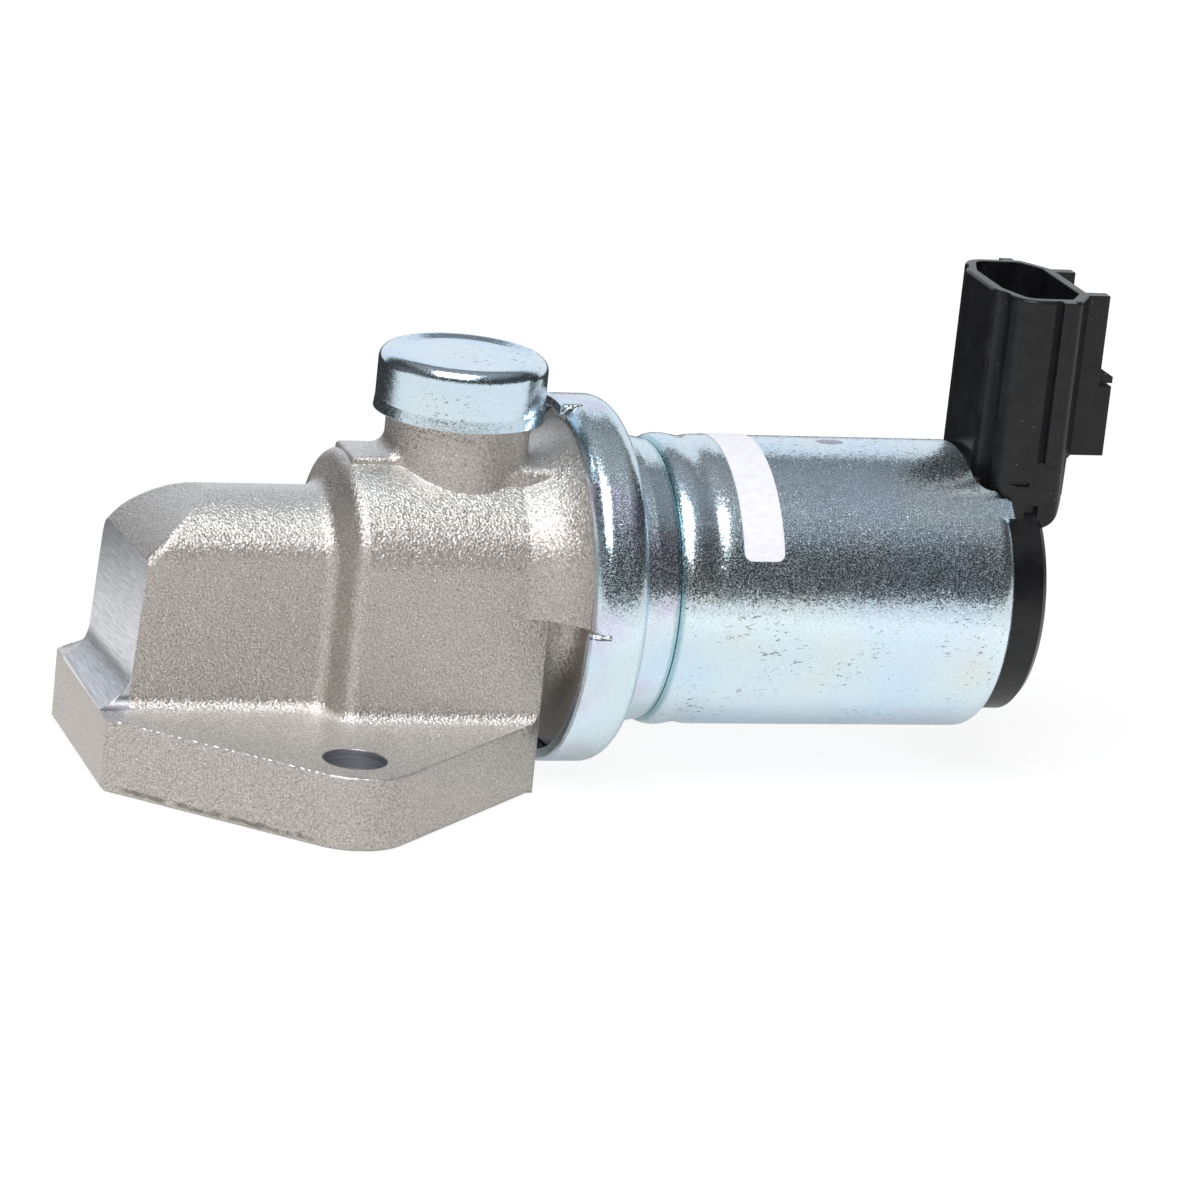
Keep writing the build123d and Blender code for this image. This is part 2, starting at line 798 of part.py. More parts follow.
# Solenoid can: rolled bead at the joint, inward curl at the far end, and a cut-out for the tower
with BuildPart() as solenoid_can:
    with BuildSketch(axis_plane):
        with BuildLine():
            joint_x = groove_x + joint_half_gap
            c1 = Spline(
                (joint_x, groove_radius),
                (bead_crest_x, can_outer_radius + bead_rise),
                (bead_valley_x, can_outer_radius - bead_valley_depth),
                (bead_end, can_outer_radius),
                tangents=((1, 1), (1, 0)),
            )
            c2 = Line(c1 @ 1, (curl_start, can_outer_radius))
            c3 = JernArc(c2 @ 1, (1, 0), curl_radius, -90)
            c4 = Line(c3 @ 1, (can_end - can_wall, curl_edge_radius))
            c5 = JernArc(c4 @ 1, (0, 1), curl_radius - can_wall, 90)
            Polyline(
                c5 @ 1,
                (bead_end, can_inner_radius),
                (plate_end, plate_bore_radius),
                (joint_x, plate_bore_radius),
                c1 @ 0,
            )
        make_face()
    revolve(axis=valve_axis)
    # The rim stays straight in a tab on each side of the cut-out
    rim_tab = band(curl_start, can_end, can_outer_radius - tab_thickness, can_outer_radius)
    for tab_from in (tab_first_angle, -tab_first_angle - tab_angle):
        add(turned_from(rim_tab, tab_from, tab_angle))
    with BuildSketch(Plane.XY.offset(axis_height)) as cutout:
        with BuildLine():
            Polyline(
                (cutout_start, -cutout_half_width),
                (cutout_flare_start, -cutout_half_width),
                (can_end + curl_radius, -cutout_flare_width),
                (can_end + curl_radius, cutout_flare_width),
                (cutout_flare_start, cutout_half_width),
                (cutout_start, cutout_half_width),
                close=True,
            )
        make_face()
        inner_corners = cutout.vertices().filter_by_position(Axis.X, cutout_start, cutout_start)
        fillet(inner_corners, cutout_corner_radius)
    extrude(amount=clear, mode=Mode.SUBTRACT)
solenoid_can.part.label = "solenoid_can"
export_step(solenoid_can.part, "parts/solenoid_can.step")


# Coil: a moulded bobbin and the copper wound on it
bobbin_inner_radius = sleeve_outer_radius + wall_clearance
bobbin_tube_radius = bobbin_inner_radius + bobbin_tube_wall
with BuildPart() as coil_bobbin:
    revolve(
        outline(
            (plate_end, bobbin_inner_radius),
            (plate_end, bobbin_flange_radius),
            (plate_end + bobbin_flange_thickness, bobbin_flange_radius),
            (plate_end + bobbin_flange_thickness, bobbin_tube_radius),
            (rear_plate_start - bobbin_flange_thickness, bobbin_tube_radius),
            (rear_plate_start - bobbin_flange_thickness, bobbin_flange_radius),
            (rear_plate_start, bobbin_flange_radius),
            (rear_plate_start, bobbin_inner_radius),
        ),
        axis=valve_axis,
    )
coil_bobbin.part.label = "coil_bobbin"
export_step(coil_bobbin.part, "parts/coil_bobbin.step")

with BuildPart() as coil_winding:
    revolve(
        band(
            plate_end + bobbin_flange_thickness,
            rear_plate_start - bobbin_flange_thickness,
            bobbin_tube_radius,
            winding_outer_radius,
        ),
        axis=valve_axis,
    )
coil_winding.part.label = "coil_winding"
export_step(coil_winding.part, "parts/coil_winding.step")

with BuildPart() as armature_sleeve:
    revolve(band(plate_end, rear_plate_start, sleeve_inner_radius, sleeve_outer_radius), axis=valve_axis)
armature_sleeve.part.label = "armature_sleeve"
export_step(armature_sleeve.part, "parts/armature_sleeve.step")


# Armature pressed on the stem, the fixed core it is drawn to, and the shim that keeps them apart
with BuildPart() as armature:
    revolve(band(armature_start, armature_end, stem_radius, armature_radius), axis=valve_axis)
    circles = armature.edges().filter_by(GeomType.CIRCLE)
    chamfer(circles.filter_by(lambda edge: edge.radius > stem_radius + tolerance), armature_chamfer)
armature.part.label = "armature"
export_step(armature.part, "parts/armature.step")

with BuildPart() as pole_core:
    revolve(
        outline(
            (core_start, 0),
            (core_start, sleeve_inner_radius),
            (rear_plate_start, sleeve_inner_radius),
            (rear_plate_start, core_spigot_radius),
            (rear_plate_end, core_spigot_radius),
            (rear_plate_end, 0),
        ),
        axis=valve_axis,
    )
pole_core.part.label = "pole_core"
export_step(pole_core.part, "parts/pole_core.step")

with BuildPart() as core_shim:
    revolve(band(core_start - shim_thickness, core_start, stem_radius, sleeve_inner_radius), axis=valve_axis)
core_shim.part.label = "core_shim"
export_step(core_shim.part, "parts/core_shim.step")


# Plug terminals, one shape either side of the middle: a blade up in the socket and a foot to the coil
def blade_outline():
    """Side view of a terminal, an L of strip."""
    with BuildSketch(side_plane) as shape:
        with BuildLine():
            Polyline(
                (rear_plate_start, terminal_foot),
                (terminal_x + terminal_thickness, terminal_foot),
                (terminal_x + terminal_thickness, terminal_top),
                (terminal_x, terminal_top),
                (terminal_x, terminal_foot + terminal_thickness),
                (rear_plate_start, terminal_foot + terminal_thickness),
                close=True,
            )
        make_face()
    return shape.sketch


terminals = []
for name, side in (("terminal_front", -1), ("terminal_back", 1)):
    with BuildPart() as terminal:
        middle = Location((0, side * terminal_pitch / 2, 0))
        extrude(blade_outline().moved(middle), amount=terminal_width / 2, both=True)
        tip = terminal.edges().filter_by(Axis.Y).filter_by_position(Axis.Z, terminal_top, terminal_top)
        chamfer(tip, terminal_tip_chamfer)
    terminal.part.label = name
    export_step(terminal.part, f"parts/{name}.step")
    terminals.append(terminal.part)


# Rear plate: closes the coil's magnetic path, with windows for the terminals
with BuildPart() as rear_plate:
    revolve(
        band(rear_plate_start, rear_plate_end, core_spigot_radius, can_inner_radius - wall_clearance),
        axis=valve_axis,
    )
    with BuildSketch(Plane.YZ.offset(rear_plate_start)):
        with Locations(
            (-terminal_pitch / 2, terminal_foot + terminal_thickness / 2),
            (terminal_pitch / 2, terminal_foot + terminal_thickness / 2),
        ):
            Rectangle(terminal_width + 2 * window_margin, terminal_thickness + 2 * window_margin)
    extrude(amount=rear_plate_thickness, mode=Mode.SUBTRACT)
rear_plate.part.label = "rear_plate"
export_step(rear_plate.part, "parts/rear_plate.step")


# Connector housing: end disc, socket tower, keying ribs, latch rails and catch, moulded as one
def tower_section(height, inset, front_radius, corner_radius):
    """Section of the socket tower at a height, drawn in by inset, with rounded corners."""
    with BuildSketch(Plane.XY.offset(height)) as shape:
        with BuildLine():
            Polyline(
                (tower_left, -tower_left_half_width),
                (tower_left + tower_left_taper, -tower_half_width),
                (tower_right - tower_right_taper, -tower_half_width),
                (tower_right, -tower_right_half_width),
                (tower_right, tower_right_half_width),
                (tower_right - tower_right_taper, tower_half_width),
                (tower_left + tower_left_taper, tower_half_width),
                (tower_left, tower_left_half_width),
                close=True,
            )
        make_face()
        if inset:
            offset(amount=-inset, kind=Kind.INTERSECTION, mode=Mode.REPLACE)
        middle_x = tower_left + tower_depth / 2
        broad_y = tower_half_width - inset - tolerance
        fillet(shape.vertices().filter_by(lambda v: v.X < middle_x and abs(v.Y) > broad_y), front_radius)
        left_x = tower_left + inset + tolerance
        fillet(shape.vertices().filter_by(lambda v: v.X < left_x or v.X > middle_x), corner_radius)
    return shape.sketch


with BuildPart() as connector_housing:
    tower_outline = tower_section(tower_foot, 0, tower_front_radius, tower_corner_radius)
    extrude(tower_outline, amount=tower_top - tower_foot)
    rim = connector_housing.edges().filter_by_position(Axis.Z, tower_top, tower_top)
    fillet(rim, tower_rim_radius)
    # Shallow channel down each slanting side next to the can
    with BuildSketch(Plane.XY.offset(tower_foot)):
        with Locations((channel_x, -channel_y), (channel_x, channel_y)):
            Circle(tower_channel_radius)
    extrude(amount=tower_top - tower_foot, mode=Mode.SUBTRACT)
    # Notch up from the disc in each broad side
    with BuildSketch(Plane.XY.offset(tower_foot)):
        with Locations((foot_notch_x, -tower_half_width), (foot_notch_x, tower_half_width)):
            Rectangle(foot_notch_length, 2 * foot_notch_depth)
    extrude(amount=foot_notch_height, mode=Mode.SUBTRACT)
    # The back stands in below the latch rails and slopes in further to its foot
    with BuildSketch(side_plane):
        with BuildLine():
            Polyline(
                (tower_right - tower_back_step, rail_bottom),
                (tower_right + merge_depth, rail_bottom),
                (tower_right + merge_depth, tower_foot - merge_depth),
                (tower_right - tower_back_step - tower_back_draft, tower_foot - merge_depth),
                close=True,
            )
        make_face()
    extrude(amount=clear, both=True, mode=Mode.SUBTRACT)
    # Round under the overhanging side of the tower
    with BuildSketch(side_plane):
        with BuildLine():
            round_start = (tower_back_foot, tower_foot + tower_foot_radius)
            f1 = JernArc(round_start, (0, -1), tower_foot_radius, -90)
            Polyline(
                f1 @ 1,
                (tower_back_foot - tower_foot_radius, tower_foot - merge_depth),
                (tower_right + merge_depth, tower_foot - merge_depth),
                (tower_right + merge_depth, tower_foot + tower_foot_radius),
                f1 @ 0,
            )
        make_face()
    extrude(amount=clear, both=True, mode=Mode.SUBTRACT)
    revolve(
        outline(
            (rear_plate_end, 0),
            (rear_plate_end, retainer_radius),
            (rear_plate_end + retainer_thickness, retainer_radius),
            (rear_plate_end + retainer_thickness, disc_radius),
            (disc_end - disc_edge_radius, disc_radius),
            (disc_end, disc_radius - disc_edge_radius),
            (disc_end, 0),
        ),
        axis=valve_axis,
    )
    # Keying rib on each broad side, with a groove beside it
    with BuildSketch(Plane.XY.offset(key_rib_bottom)):
        with Locations((key_rib_x + key_rib_width / 2, 0)):
            Rectangle(key_rib_width, 2 * (tower_half_width + key_rib_depth))
    extrude(amount=tower_top - key_rib_bottom)
    with BuildSketch(Plane.XY.offset(key_rib_bottom)):
        key_groove_x = key_rib_x - key_groove_width / 2
        with Locations((key_groove_x, -tower_half_width), (key_groove_x, tower_half_width)):
            Rectangle(key_groove_width, 2 * key_groove_depth)
    extrude(amount=tower_top - key_rib_bottom, mode=Mode.SUBTRACT)
    # Short moulding step across each broad side, low down
    with BuildSketch(Plane.XY.offset(tower_step_height)):
        with Locations((tower_step_middle, -tower_half_width), (tower_step_middle, tower_half_width)):
            Rectangle(tower_step_length, 2 * key_groove_depth)
    extrude(amount=tower_step_width, mode=Mode.SUBTRACT)
    # Latch rails
    with BuildSketch(side_plane):
        with BuildLine():
            Polyline(
                (tower_right - socket_wall, rail_bottom),
                (tower_right + rail_lower_reach, rail_bottom),
                (tower_right + rail_lower_reach, rail_step_height),
                (tower_right + rail_reach, rail_step_height),
                (tower_right + rail_reach, rail_top),
                (tower_right - socket_wall, rail_top),
                close=True,
            )
        make_face()
    extrude(amount=rail_offset + rail_thickness / 2, both=True)
    with BuildSketch(side_plane):
        with Locations((tower_right, rail_bottom)):
            Rectangle(clear, clear, align=(Align.MIN, Align.MIN))
    extrude(amount=rail_offset - rail_thickness / 2, both=True, mode=Mode.SUBTRACT)
    # Catch between the rails, a ramp over a square shelf
    with BuildSketch(side_plane):
        with BuildLine():
            Polyline(
                (tower_right - socket_wall, catch_bottom),
                (tower_right + catch_reach, catch_bottom),
                (tower_right + catch_reach, catch_bottom + catch_nose),
                (tower_right, catch_bottom + catch_height),
                (tower_right - socket_wall, catch_bottom + catch_height),
                close=True,
            )
        make_face()
    extrude(amount=rail_offset, both=True)
    # Socket
    socket_section = tower_section(socket_floor, socket_wall, socket_front_radius, socket_corner_radius)
    extrude(socket_section, amount=clear, mode=Mode.SUBTRACT)
    add(terminals, mode=Mode.SUBTRACT)
connector_housing.part.label = "connector_housing"
export_step(connector_housing.part, "parts/connector_housing.step")


# Blank paper label wrapped over the can
label_outer_radius = can_outer_radius + label_thickness
label_band = band(label_start, label_start + label_width, can_outer_radius, label_outer_radius)
with BuildPart() as label_strip:
    add(turned_from(label_band, label_first_angle - 90, label_last_angle - label_first_angle))
    ends = label_strip.edges().filter_by(lambda edge: abs(edge.length - label_thickness) < tolerance)
    fillet(ends, label_corner_radius)
label_strip.part.label = "label_strip"
export_step(label_strip.part, "parts/label_strip.step")
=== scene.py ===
# %% [markdown]
# # Dressing an idle air control valve
# The frame holds every piece of the valve at its real size and place. This lesson gives each one the
# finish that its maker gave it: blasted casting, milled face, zinc plate, moulded nylon and paper. It
# also adds the leftovers of manufacture that are too small for the solids, a burr and torn flash, and
# puts a merged copy of the return spring in the solid one's place.

# %% Load the frame
from math import asin, atan2, cos, hypot, radians, sin

import bmesh
import bpy
from mathutils import Matrix, Vector


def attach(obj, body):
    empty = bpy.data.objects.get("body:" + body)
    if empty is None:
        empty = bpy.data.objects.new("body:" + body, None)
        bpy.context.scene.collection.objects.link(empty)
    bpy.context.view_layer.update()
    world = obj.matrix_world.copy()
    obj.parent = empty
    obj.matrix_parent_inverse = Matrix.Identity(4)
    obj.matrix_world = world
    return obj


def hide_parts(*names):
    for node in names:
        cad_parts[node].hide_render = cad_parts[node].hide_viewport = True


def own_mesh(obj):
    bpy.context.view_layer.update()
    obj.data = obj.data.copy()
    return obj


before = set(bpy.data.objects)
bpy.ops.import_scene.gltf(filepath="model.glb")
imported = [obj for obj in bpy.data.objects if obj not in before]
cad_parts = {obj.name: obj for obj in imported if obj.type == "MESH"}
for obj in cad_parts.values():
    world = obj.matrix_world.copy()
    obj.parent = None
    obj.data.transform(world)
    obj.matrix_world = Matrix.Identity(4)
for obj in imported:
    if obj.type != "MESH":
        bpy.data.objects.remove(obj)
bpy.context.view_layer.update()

MM = 0.001

# %% [markdown]
# ## The camera
# A product photographer stands well back with a long lens, so that edges that are parallel on the
# part stay nearly parallel in the picture. The camera is described as a photographer would: where it
# points, how far off it stands, the angle round the object, the height above it, and its roll.

# %% Camera
look_at = Vector((37.0, 0.52, 19.67)) * MM
camera_distance = 722.98 * MM
camera_azimuth = radians(18.73)
camera_elevation = radians(16.01)
camera_roll = radians(6.1)
lens_mm = 180
sensor_mm = 36

forward = Vector((
    sin(camera_azimuth) * cos(camera_elevation),
    cos(camera_azimuth) * cos(camera_elevation),
    -sin(camera_elevation),
))
level = Vector((cos(camera_azimuth), -sin(camera_azimuth), 0))
right = level * cos(camera_roll) + level.cross(forward) * sin(camera_roll)
up = right.cross(forward)

camera_data = bpy.data.cameras.new("camera")
camera_data.lens = lens_mm
camera_data.sensor_width = sensor_mm
camera_data.clip_start = 10 * MM
camera = bpy.data.objects.new("camera", camera_data)
camera.matrix_world = Matrix((
    (right.x, up.x, -forward.x, look_at.x - forward.x * camera_distance),
    (right.y, up.y, -forward.y, look_at.y - forward.y * camera_distance),
    (right.z, up.z, -forward.z, look_at.z - forward.z * camera_distance),
    (0, 0, 0, 1),
))
bpy.context.scene.collection.objects.link(camera)
bpy.context.scene.camera = camera
print("camera stands at", [round(v / MM) for v in camera.matrix_world.translation], "mm")

# %% [markdown]
# ## Colour and nodes
# Colours are picked as hex values, as on a colour chart, but the renderer mixes light in linear
# values. One function does that change. Another adds a node, sets it and links it in one line, so
# that each material below reads like a recipe. An input may be a number, a hex colour, a socket, or
# a node, which then gives its first output.

# %% Colour and node helpers
def linear(hex_colour):
    """An sRGB hex colour as linear red, green, blue and full alpha."""
    parts = [int(hex_colour[i:i + 2], 16) / 255 for i in (1, 3, 5)]
    return [p / 12.92 if p <= 0.04045 else ((p + 0.055) / 1.055) ** 2.4 for p in parts] + [1.0]


def add(tree, kind, inputs=None, **settings):
    """A new node: settings are its own properties, inputs are values, hex colours, nodes or sockets."""
    node = tree.nodes.new(kind)
    for name, value in settings.items():
        setattr(node, name, value)
    for name, value in (inputs or {}).items():
        by_name = [s for s in node.inputs if s.enabled and s.name == name]
        socket = by_name[0] if by_name else node.inputs[name]
        if isinstance(value, bpy.types.Node):
            value = [s for s in value.outputs if s.enabled][0]
        if isinstance(value, bpy.types.NodeSocket):
            tree.links.new(value, socket)
        else:
            socket.default_value = linear(value) if isinstance(value, str) else value
    return node


MATH, VECTOR, RANGE = "ShaderNodeMath", "ShaderNodeVectorMath", "ShaderNodeMapRange"
MIX, NOISE, CELLS, BUMP = "ShaderNodeMix", "ShaderNodeTexNoise", "ShaderNodeTexVoronoi", "ShaderNodeBump"
SPLIT = "ShaderNodeSeparateXYZ"
SMOOTH = {"interpolation_type": "SMOOTHSTEP"}
COLOUR = {"data_type": "RGBA"}
print("middle grey on the chart is", round(linear("#808080")[0], 3), "in linear light")

# %% [markdown]
# ## Places and patterns in millimetres
# Every pattern has a real size, so the place on the part is first turned into millimetres. Two
# patterns come back on several finishes. Dots are pores, dust or nicks: small balls scattered through
# space, of which the surface cuts a few. Facets are the crystals or dents of a surface too fine to
# model: each little cell leans its own way, so it catches its own part of the studio.

# %% Place, dots and facets
def new_material(name):
    """A bare material, its tree, and the place in millimetres, whole and split into x, y and z."""
    material = bpy.data.materials.new(name)
    material.use_nodes = True
    tree = material.node_tree
    tree.nodes.clear()
    metres = add(tree, "ShaderNodeTexCoord").outputs["Object"]
    place = add(tree, VECTOR, {0: metres, "Scale": 1 / MM}, operation="SCALE")
    return material, tree, place, add(tree, SPLIT, {0: place}).outputs


def dots(tree, place, spacing_mm, size_mm, share):
    """Dots about size_mm across, one in each cell of spacing_mm, of which only a share is kept."""
    cells = add(tree, CELLS, {"Vector": place, "Scale": 1 / spacing_mm})
    edge = size_mm / spacing_mm / 2
    near = add(tree, RANGE, {"Value": cells, "From Min": edge, "From Max": edge * 0.5}, **SMOOTH)
    lot = add(tree, "ShaderNodeSeparateColor", {0: cells.outputs["Color"]})
    kept = add(tree, MATH, {0: lot, 1: share}, operation="LESS_THAN")
    return add(tree, MATH, {0: near, 1: kept}, operation="MULTIPLY")


def facets(tree, place, grain_mm, lean, spark, normal):
    """The normal, leaning by lean in each cell of grain_mm its own way, and by spark in a few of them."""
    cells = add(tree, CELLS, {"Vector": place, "Scale": 1 / grain_mm})
    way = add(tree, VECTOR, {0: cells.outputs["Color"], 1: (0.5, 0.5, 0.5)}, operation="SUBTRACT")
    size = add(tree, VECTOR, {0: way}, operation="LENGTH").outputs["Value"]
    amount = add(tree, RANGE, {
        "Value": size, "From Min": 0.52, "From Max": 0.8, "To Min": lean, "To Max": spark,
    })
    leaning = add(tree, VECTOR, {0: way, "Scale": amount}, operation="SCALE")
    leaning = add(tree, VECTOR, {0: leaning, 1: normal}, operation="ADD")
    return add(tree, VECTOR, {0: leaning}, operation="NORMALIZE")


print("patterns are sized in millimetres, of", MM, "m each")

# %% [markdown]
# ## Blasted aluminium casting
# The body is die cast and then shot blasted. Shot leaves a skin of shallow dents about a third of a
# millimetre apart, which scatters light like orange peel, over a finer grain that sparkles. Where a
# cutter has been, the skin is gone: the gate face at the end, the bolt holes and the mounting face are
# bright and carry fine tool lines. All of it is one piece of metal, so it is one material, and the
# cut areas are found by where they are on the part.

# %% Where cutters have been
flange_top = 8.7
bolt_offset = 27.64
bolt_hole_radius = 3.78
gate_foot_x = -22.15
gate_foot_height = 26.7
gate_half_width = 10.5
gate_lean = 0.06
gate_yaw = radians(3.3)
cut_margin = 0.06
drill_margin = 0.12
face_margin = 0.02


def cut_areas(tree, x, y, z):
    """Masks of the drilled bolt holes, and of the milled gate face and holes with the mounting face."""
    swung = add(tree, MATH, {0: x, 1: cos(gate_yaw)}, operation="MULTIPLY")
    along = add(tree, MATH, {0: y, 1: sin(gate_yaw), 2: swung}, operation="MULTIPLY_ADD")
    foot = gate_foot_x - gate_lean * gate_foot_height + cut_margin
    plane = add(tree, MATH, {0: z, 1: gate_lean, 2: foot}, operation="MULTIPLY_ADD")
    gate = add(tree, MATH, {0: along, 1: plane}, operation="LESS_THAN")
    to_side = add(tree, MATH, {0: y}, operation="ABSOLUTE")
    for value, limit, rule in ((z, flange_top - face_margin, "GREATER_THAN"),
                               (z, gate_foot_height + face_margin, "LESS_THAN"),
                               (to_side, gate_half_width, "LESS_THAN")):
        inside = add(tree, MATH, {0: value, 1: limit}, operation=rule)
        gate = add(tree, MATH, {0: gate, 1: inside}, operation="MULTIPLY")
    from_bolt = add(tree, MATH, {0: to_side, 1: bolt_offset}, operation="SUBTRACT")
    apart = add(tree, "ShaderNodeCombineXYZ", {0: x, 1: from_bolt})
    distance = add(tree, VECTOR, {0: apart}, operation="LENGTH")
    drilled = add(tree, MATH, {0: distance, 1: bolt_hole_radius + drill_margin}, operation="LESS_THAN")
    underside = add(tree, MATH, {0: z, 1: face_margin}, operation="LESS_THAN")
    cut = add(tree, MATH, {0: gate, 1: drilled}, operation="MAXIMUM")
    return drilled, add(tree, MATH, {0: cut, 1: underside}, operation="MAXIMUM")


print("the gate face's foot is at", gate_foot_x, "mm")

# %% [markdown]
# The skin's colour is nearly even. A fine grain of light peaks and darker pits lies over it, and a few
# pores are darker still. Faces that look up are painted lighter, a painted highlight from the light
# above, and scattered dots are painted bright as glints. Low on the flange's front left side runs a
# dirty cold line, where two streams of molten metal met. Its mask is a product of ramps: one for each
# edge of the line, one for each of its ends, and one that breaks it up.

# %% Skin of the casting
dent_spacing = 0.34
grain_size = 0.22
speckle_size = 0.2


def blasted_skin(tree, place, x, y, z):
    """Colour and height of the blasted skin."""
    dents = add(tree, CELLS, {
        "Vector": place, "Scale": 1 / dent_spacing, "Smoothness": 0.5,
    }, feature="SMOOTH_F1")
    grain = add(tree, NOISE, {
        "Vector": place, "Scale": 1 / grain_size, "Detail": 2.0, "Roughness": 0.6,
    })
    dented = add(tree, MATH, {0: dents, 1: 0.9}, operation="MULTIPLY")
    height = add(tree, MATH, {0: grain, 1: 0.9, 2: dented}, operation="MULTIPLY_ADD")

    speckle = add(tree, NOISE, {
        "Vector": place, "Scale": 1 / speckle_size, "Detail": 2.0, "Roughness": 0.7,
    })
    light = add(tree, RANGE, {"Value": speckle, "From Min": 0.3, "From Max": 0.7}, **SMOOTH)
    skin = add(tree, MIX, {"Factor": light, "A": "#AAA39D", "B": "#DBD6D0"}, **COLOUR)
    # Painted highlight: faces that look up are painted lighter, towards white, as if lit from above.
    facing = add(tree, "ShaderNodeNewGeometry").outputs["Normal"]
    up = add(tree, SPLIT, {0: facing}).outputs[2]
    painted_top_light = add(tree, RANGE, {"Value": up, "From Min": 0.5, "From Max": 0.98}, **SMOOTH)
    bright = add(tree, MIX, {"Factor": light, "A": "#C6C3BF", "B": "#FFFFFF"}, **COLOUR)
    skin = add(tree, MIX, {"Factor": painted_top_light, "A": skin, "B": bright}, **COLOUR)
    # Painted glints: scattered dots painted near white as highlights on the grain.
    painted_glints = dots(tree, place, 0.42, 0.2, 0.45)
    skin = add(tree, MIX, {"Factor": painted_glints, "A": skin, "B": "#F4F1EC"}, **COLOUR)
    pores = add(tree, MATH, {0: dots(tree, place, 0.9, 0.22, 0.4), 1: 0.6}, operation="MULTIPLY")
    skin = add(tree, MIX, {"Factor": pores, "A": skin, "B": "#6B6058"}, **COLOUR)

    wander = add(tree, NOISE, {"Vector": place, "Scale": 1 / 1.6, "Detail": 3.0})
    line = add(tree, MATH, {0: wander, 1: 0.9, 2: z}, operation="MULTIPLY_ADD")
    broken = add(tree, NOISE, {"Vector": place, "Scale": 1 / 1.4, "Detail": 4.0, "Roughness": 0.65})
    stain = 0.65
    for value, start, full in ((line, 0.8, 1.05), (line, 1.65, 1.35), (x, -4.5, -7.0),
                               (y, -15.0, -16.5), (broken, 0.36, 0.6)):
        part = add(tree, RANGE, {"Value": value, "From Min": start, "From Max": full}, **SMOOTH)
        stain = add(tree, MATH, {0: stain, 1: part}, operation="MULTIPLY")
    return add(tree, MIX, {"Factor": stain, "A": skin, "B": "#6E6861"}, **COLOUR), height


print("the skin's dents are", dent_spacing, "mm apart, its grain", grain_size, "mm")

# %% Cast body material
skin_depth = 0.06
skin_facet = 0.18
cast_edge_radius = 0.22


def cast_aluminium():
    """Die-cast aluminium, shot blasted, with milled and drilled areas."""
    material, tree, place, (x, y, z) = new_material("die_cast_aluminium_blasted")
    drilled, cut = cut_areas(tree, x, y, z)
    skin, height = blasted_skin(tree, place, x, y, z)

    # Tool lines: along Y on the gate face, round the bore in the holes
    across_face = add(tree, VECTOR, {0: place, 1: (1.0, 0.02, 1.0)}, operation="MULTIPLY")
    face_lines = add(tree, NOISE, {
        "Vector": across_face, "Scale": 1 / 0.18, "Detail": 2.0, "Roughness": 0.6,
    })
    down_bore = add(tree, VECTOR, {0: place, 1: (0.03, 0.03, 1.0)}, operation="MULTIPLY")
    bore_lines = add(tree, NOISE, {"Vector": down_bore, "Scale": 1 / 0.3, "Detail": 2.0})
    lines = add(tree, MIX, {"Factor": drilled, "A": face_lines, "B": bore_lines})
    bright = add(tree, RANGE, {"Value": lines, "From Min": 0.3, "From Max": 0.7}, **SMOOTH)
    tooled = add(tree, MIX, {"Factor": bright, "A": "#BFC0C4", "B": "#E4E5E9"}, **COLOUR)

    shallow = add(tree, MATH, {0: lines, 1: 0.12}, operation="MULTIPLY")
    relief = add(tree, MIX, {"Factor": cut, "A": height, "B": shallow})
    edges = add(tree, "ShaderNodeBevel", {"Radius": cast_edge_radius * MM}, samples=4)
    bumped = add(tree, BUMP, {"Height": relief, "Distance": skin_depth * MM, "Normal": edges})
    shader = add(tree, "ShaderNodeBsdfPrincipled", {
        "Base Color": add(tree, MIX, {"Factor": cut, "A": skin, "B": tooled}, **COLOUR),
        "Metallic": 1.0,
        "Roughness": add(tree, MIX, {"Factor": cut, "A": 0.5, "B": 0.36}),
        "Normal": add(tree, MIX, {
            "Factor": cut, "A": facets(tree, place, skin_facet, 0.25, 0.6, bumped), "B": bumped,
        }, data_type="VECTOR"),
    })
    add(tree, "ShaderNodeOutputMaterial", {"Surface": shader})
    return material


cast_body = cast_aluminium()
print("made", cast_body.name, "with", len(cast_body.node_tree.nodes), "nodes")

# %% [markdown]
# ## Zinc plate
# The steel pieces are zinc plated and passivated. The plating is bright, but it grows as tiny
# crystals, so a dark reflection is full of sparks while a pale one looks smooth. The passivation adds
# faint blue, yellow and lilac. Turned pieces keep fine lines round their axis, a drawn can has short
# marks along it, and handling leaves a few grey scuffs. One function makes all of them. The crystals
# of real plating are finer than a pixel here, so they are drawn 0.11 to 0.17 mm across, just enough to
# show.

# %% Colour of zinc plate
zinc_blue = "#D5E8F4"


def zinc_colour(tree, place, lilac):
    """Passivated zinc: sky blue, drifting to near white, pale yellow, and lilac by its share."""
    drift = add(tree, NOISE, {"Vector": place, "Scale": 1 / 13.0, "Detail": 1.0})
    second = add(tree, NOISE, {"Vector": place, "Scale": 1 / 7.0, "Detail": 1.0}).outputs["Color"]
    second = add(tree, "ShaderNodeSeparateColor", {0: second}).outputs[1]
    colour = zinc_blue
    for value, start, full, share, tint in ((drift, 0.38, 0.56, 1.0, "#DBEAF0"),
                                            (drift, 0.58, 0.75, 0.4, "#E9E6D4"),
                                            (second, 0.52, 0.66, lilac, "#D9CCE6")):
        amount = add(tree, RANGE, {
            "Value": value, "From Min": start, "From Max": full, "To Max": share,
        }, **SMOOTH)
        colour = add(tree, MIX, {"Factor": amount, "A": colour, "B": tint}, **COLOUR)
    return colour


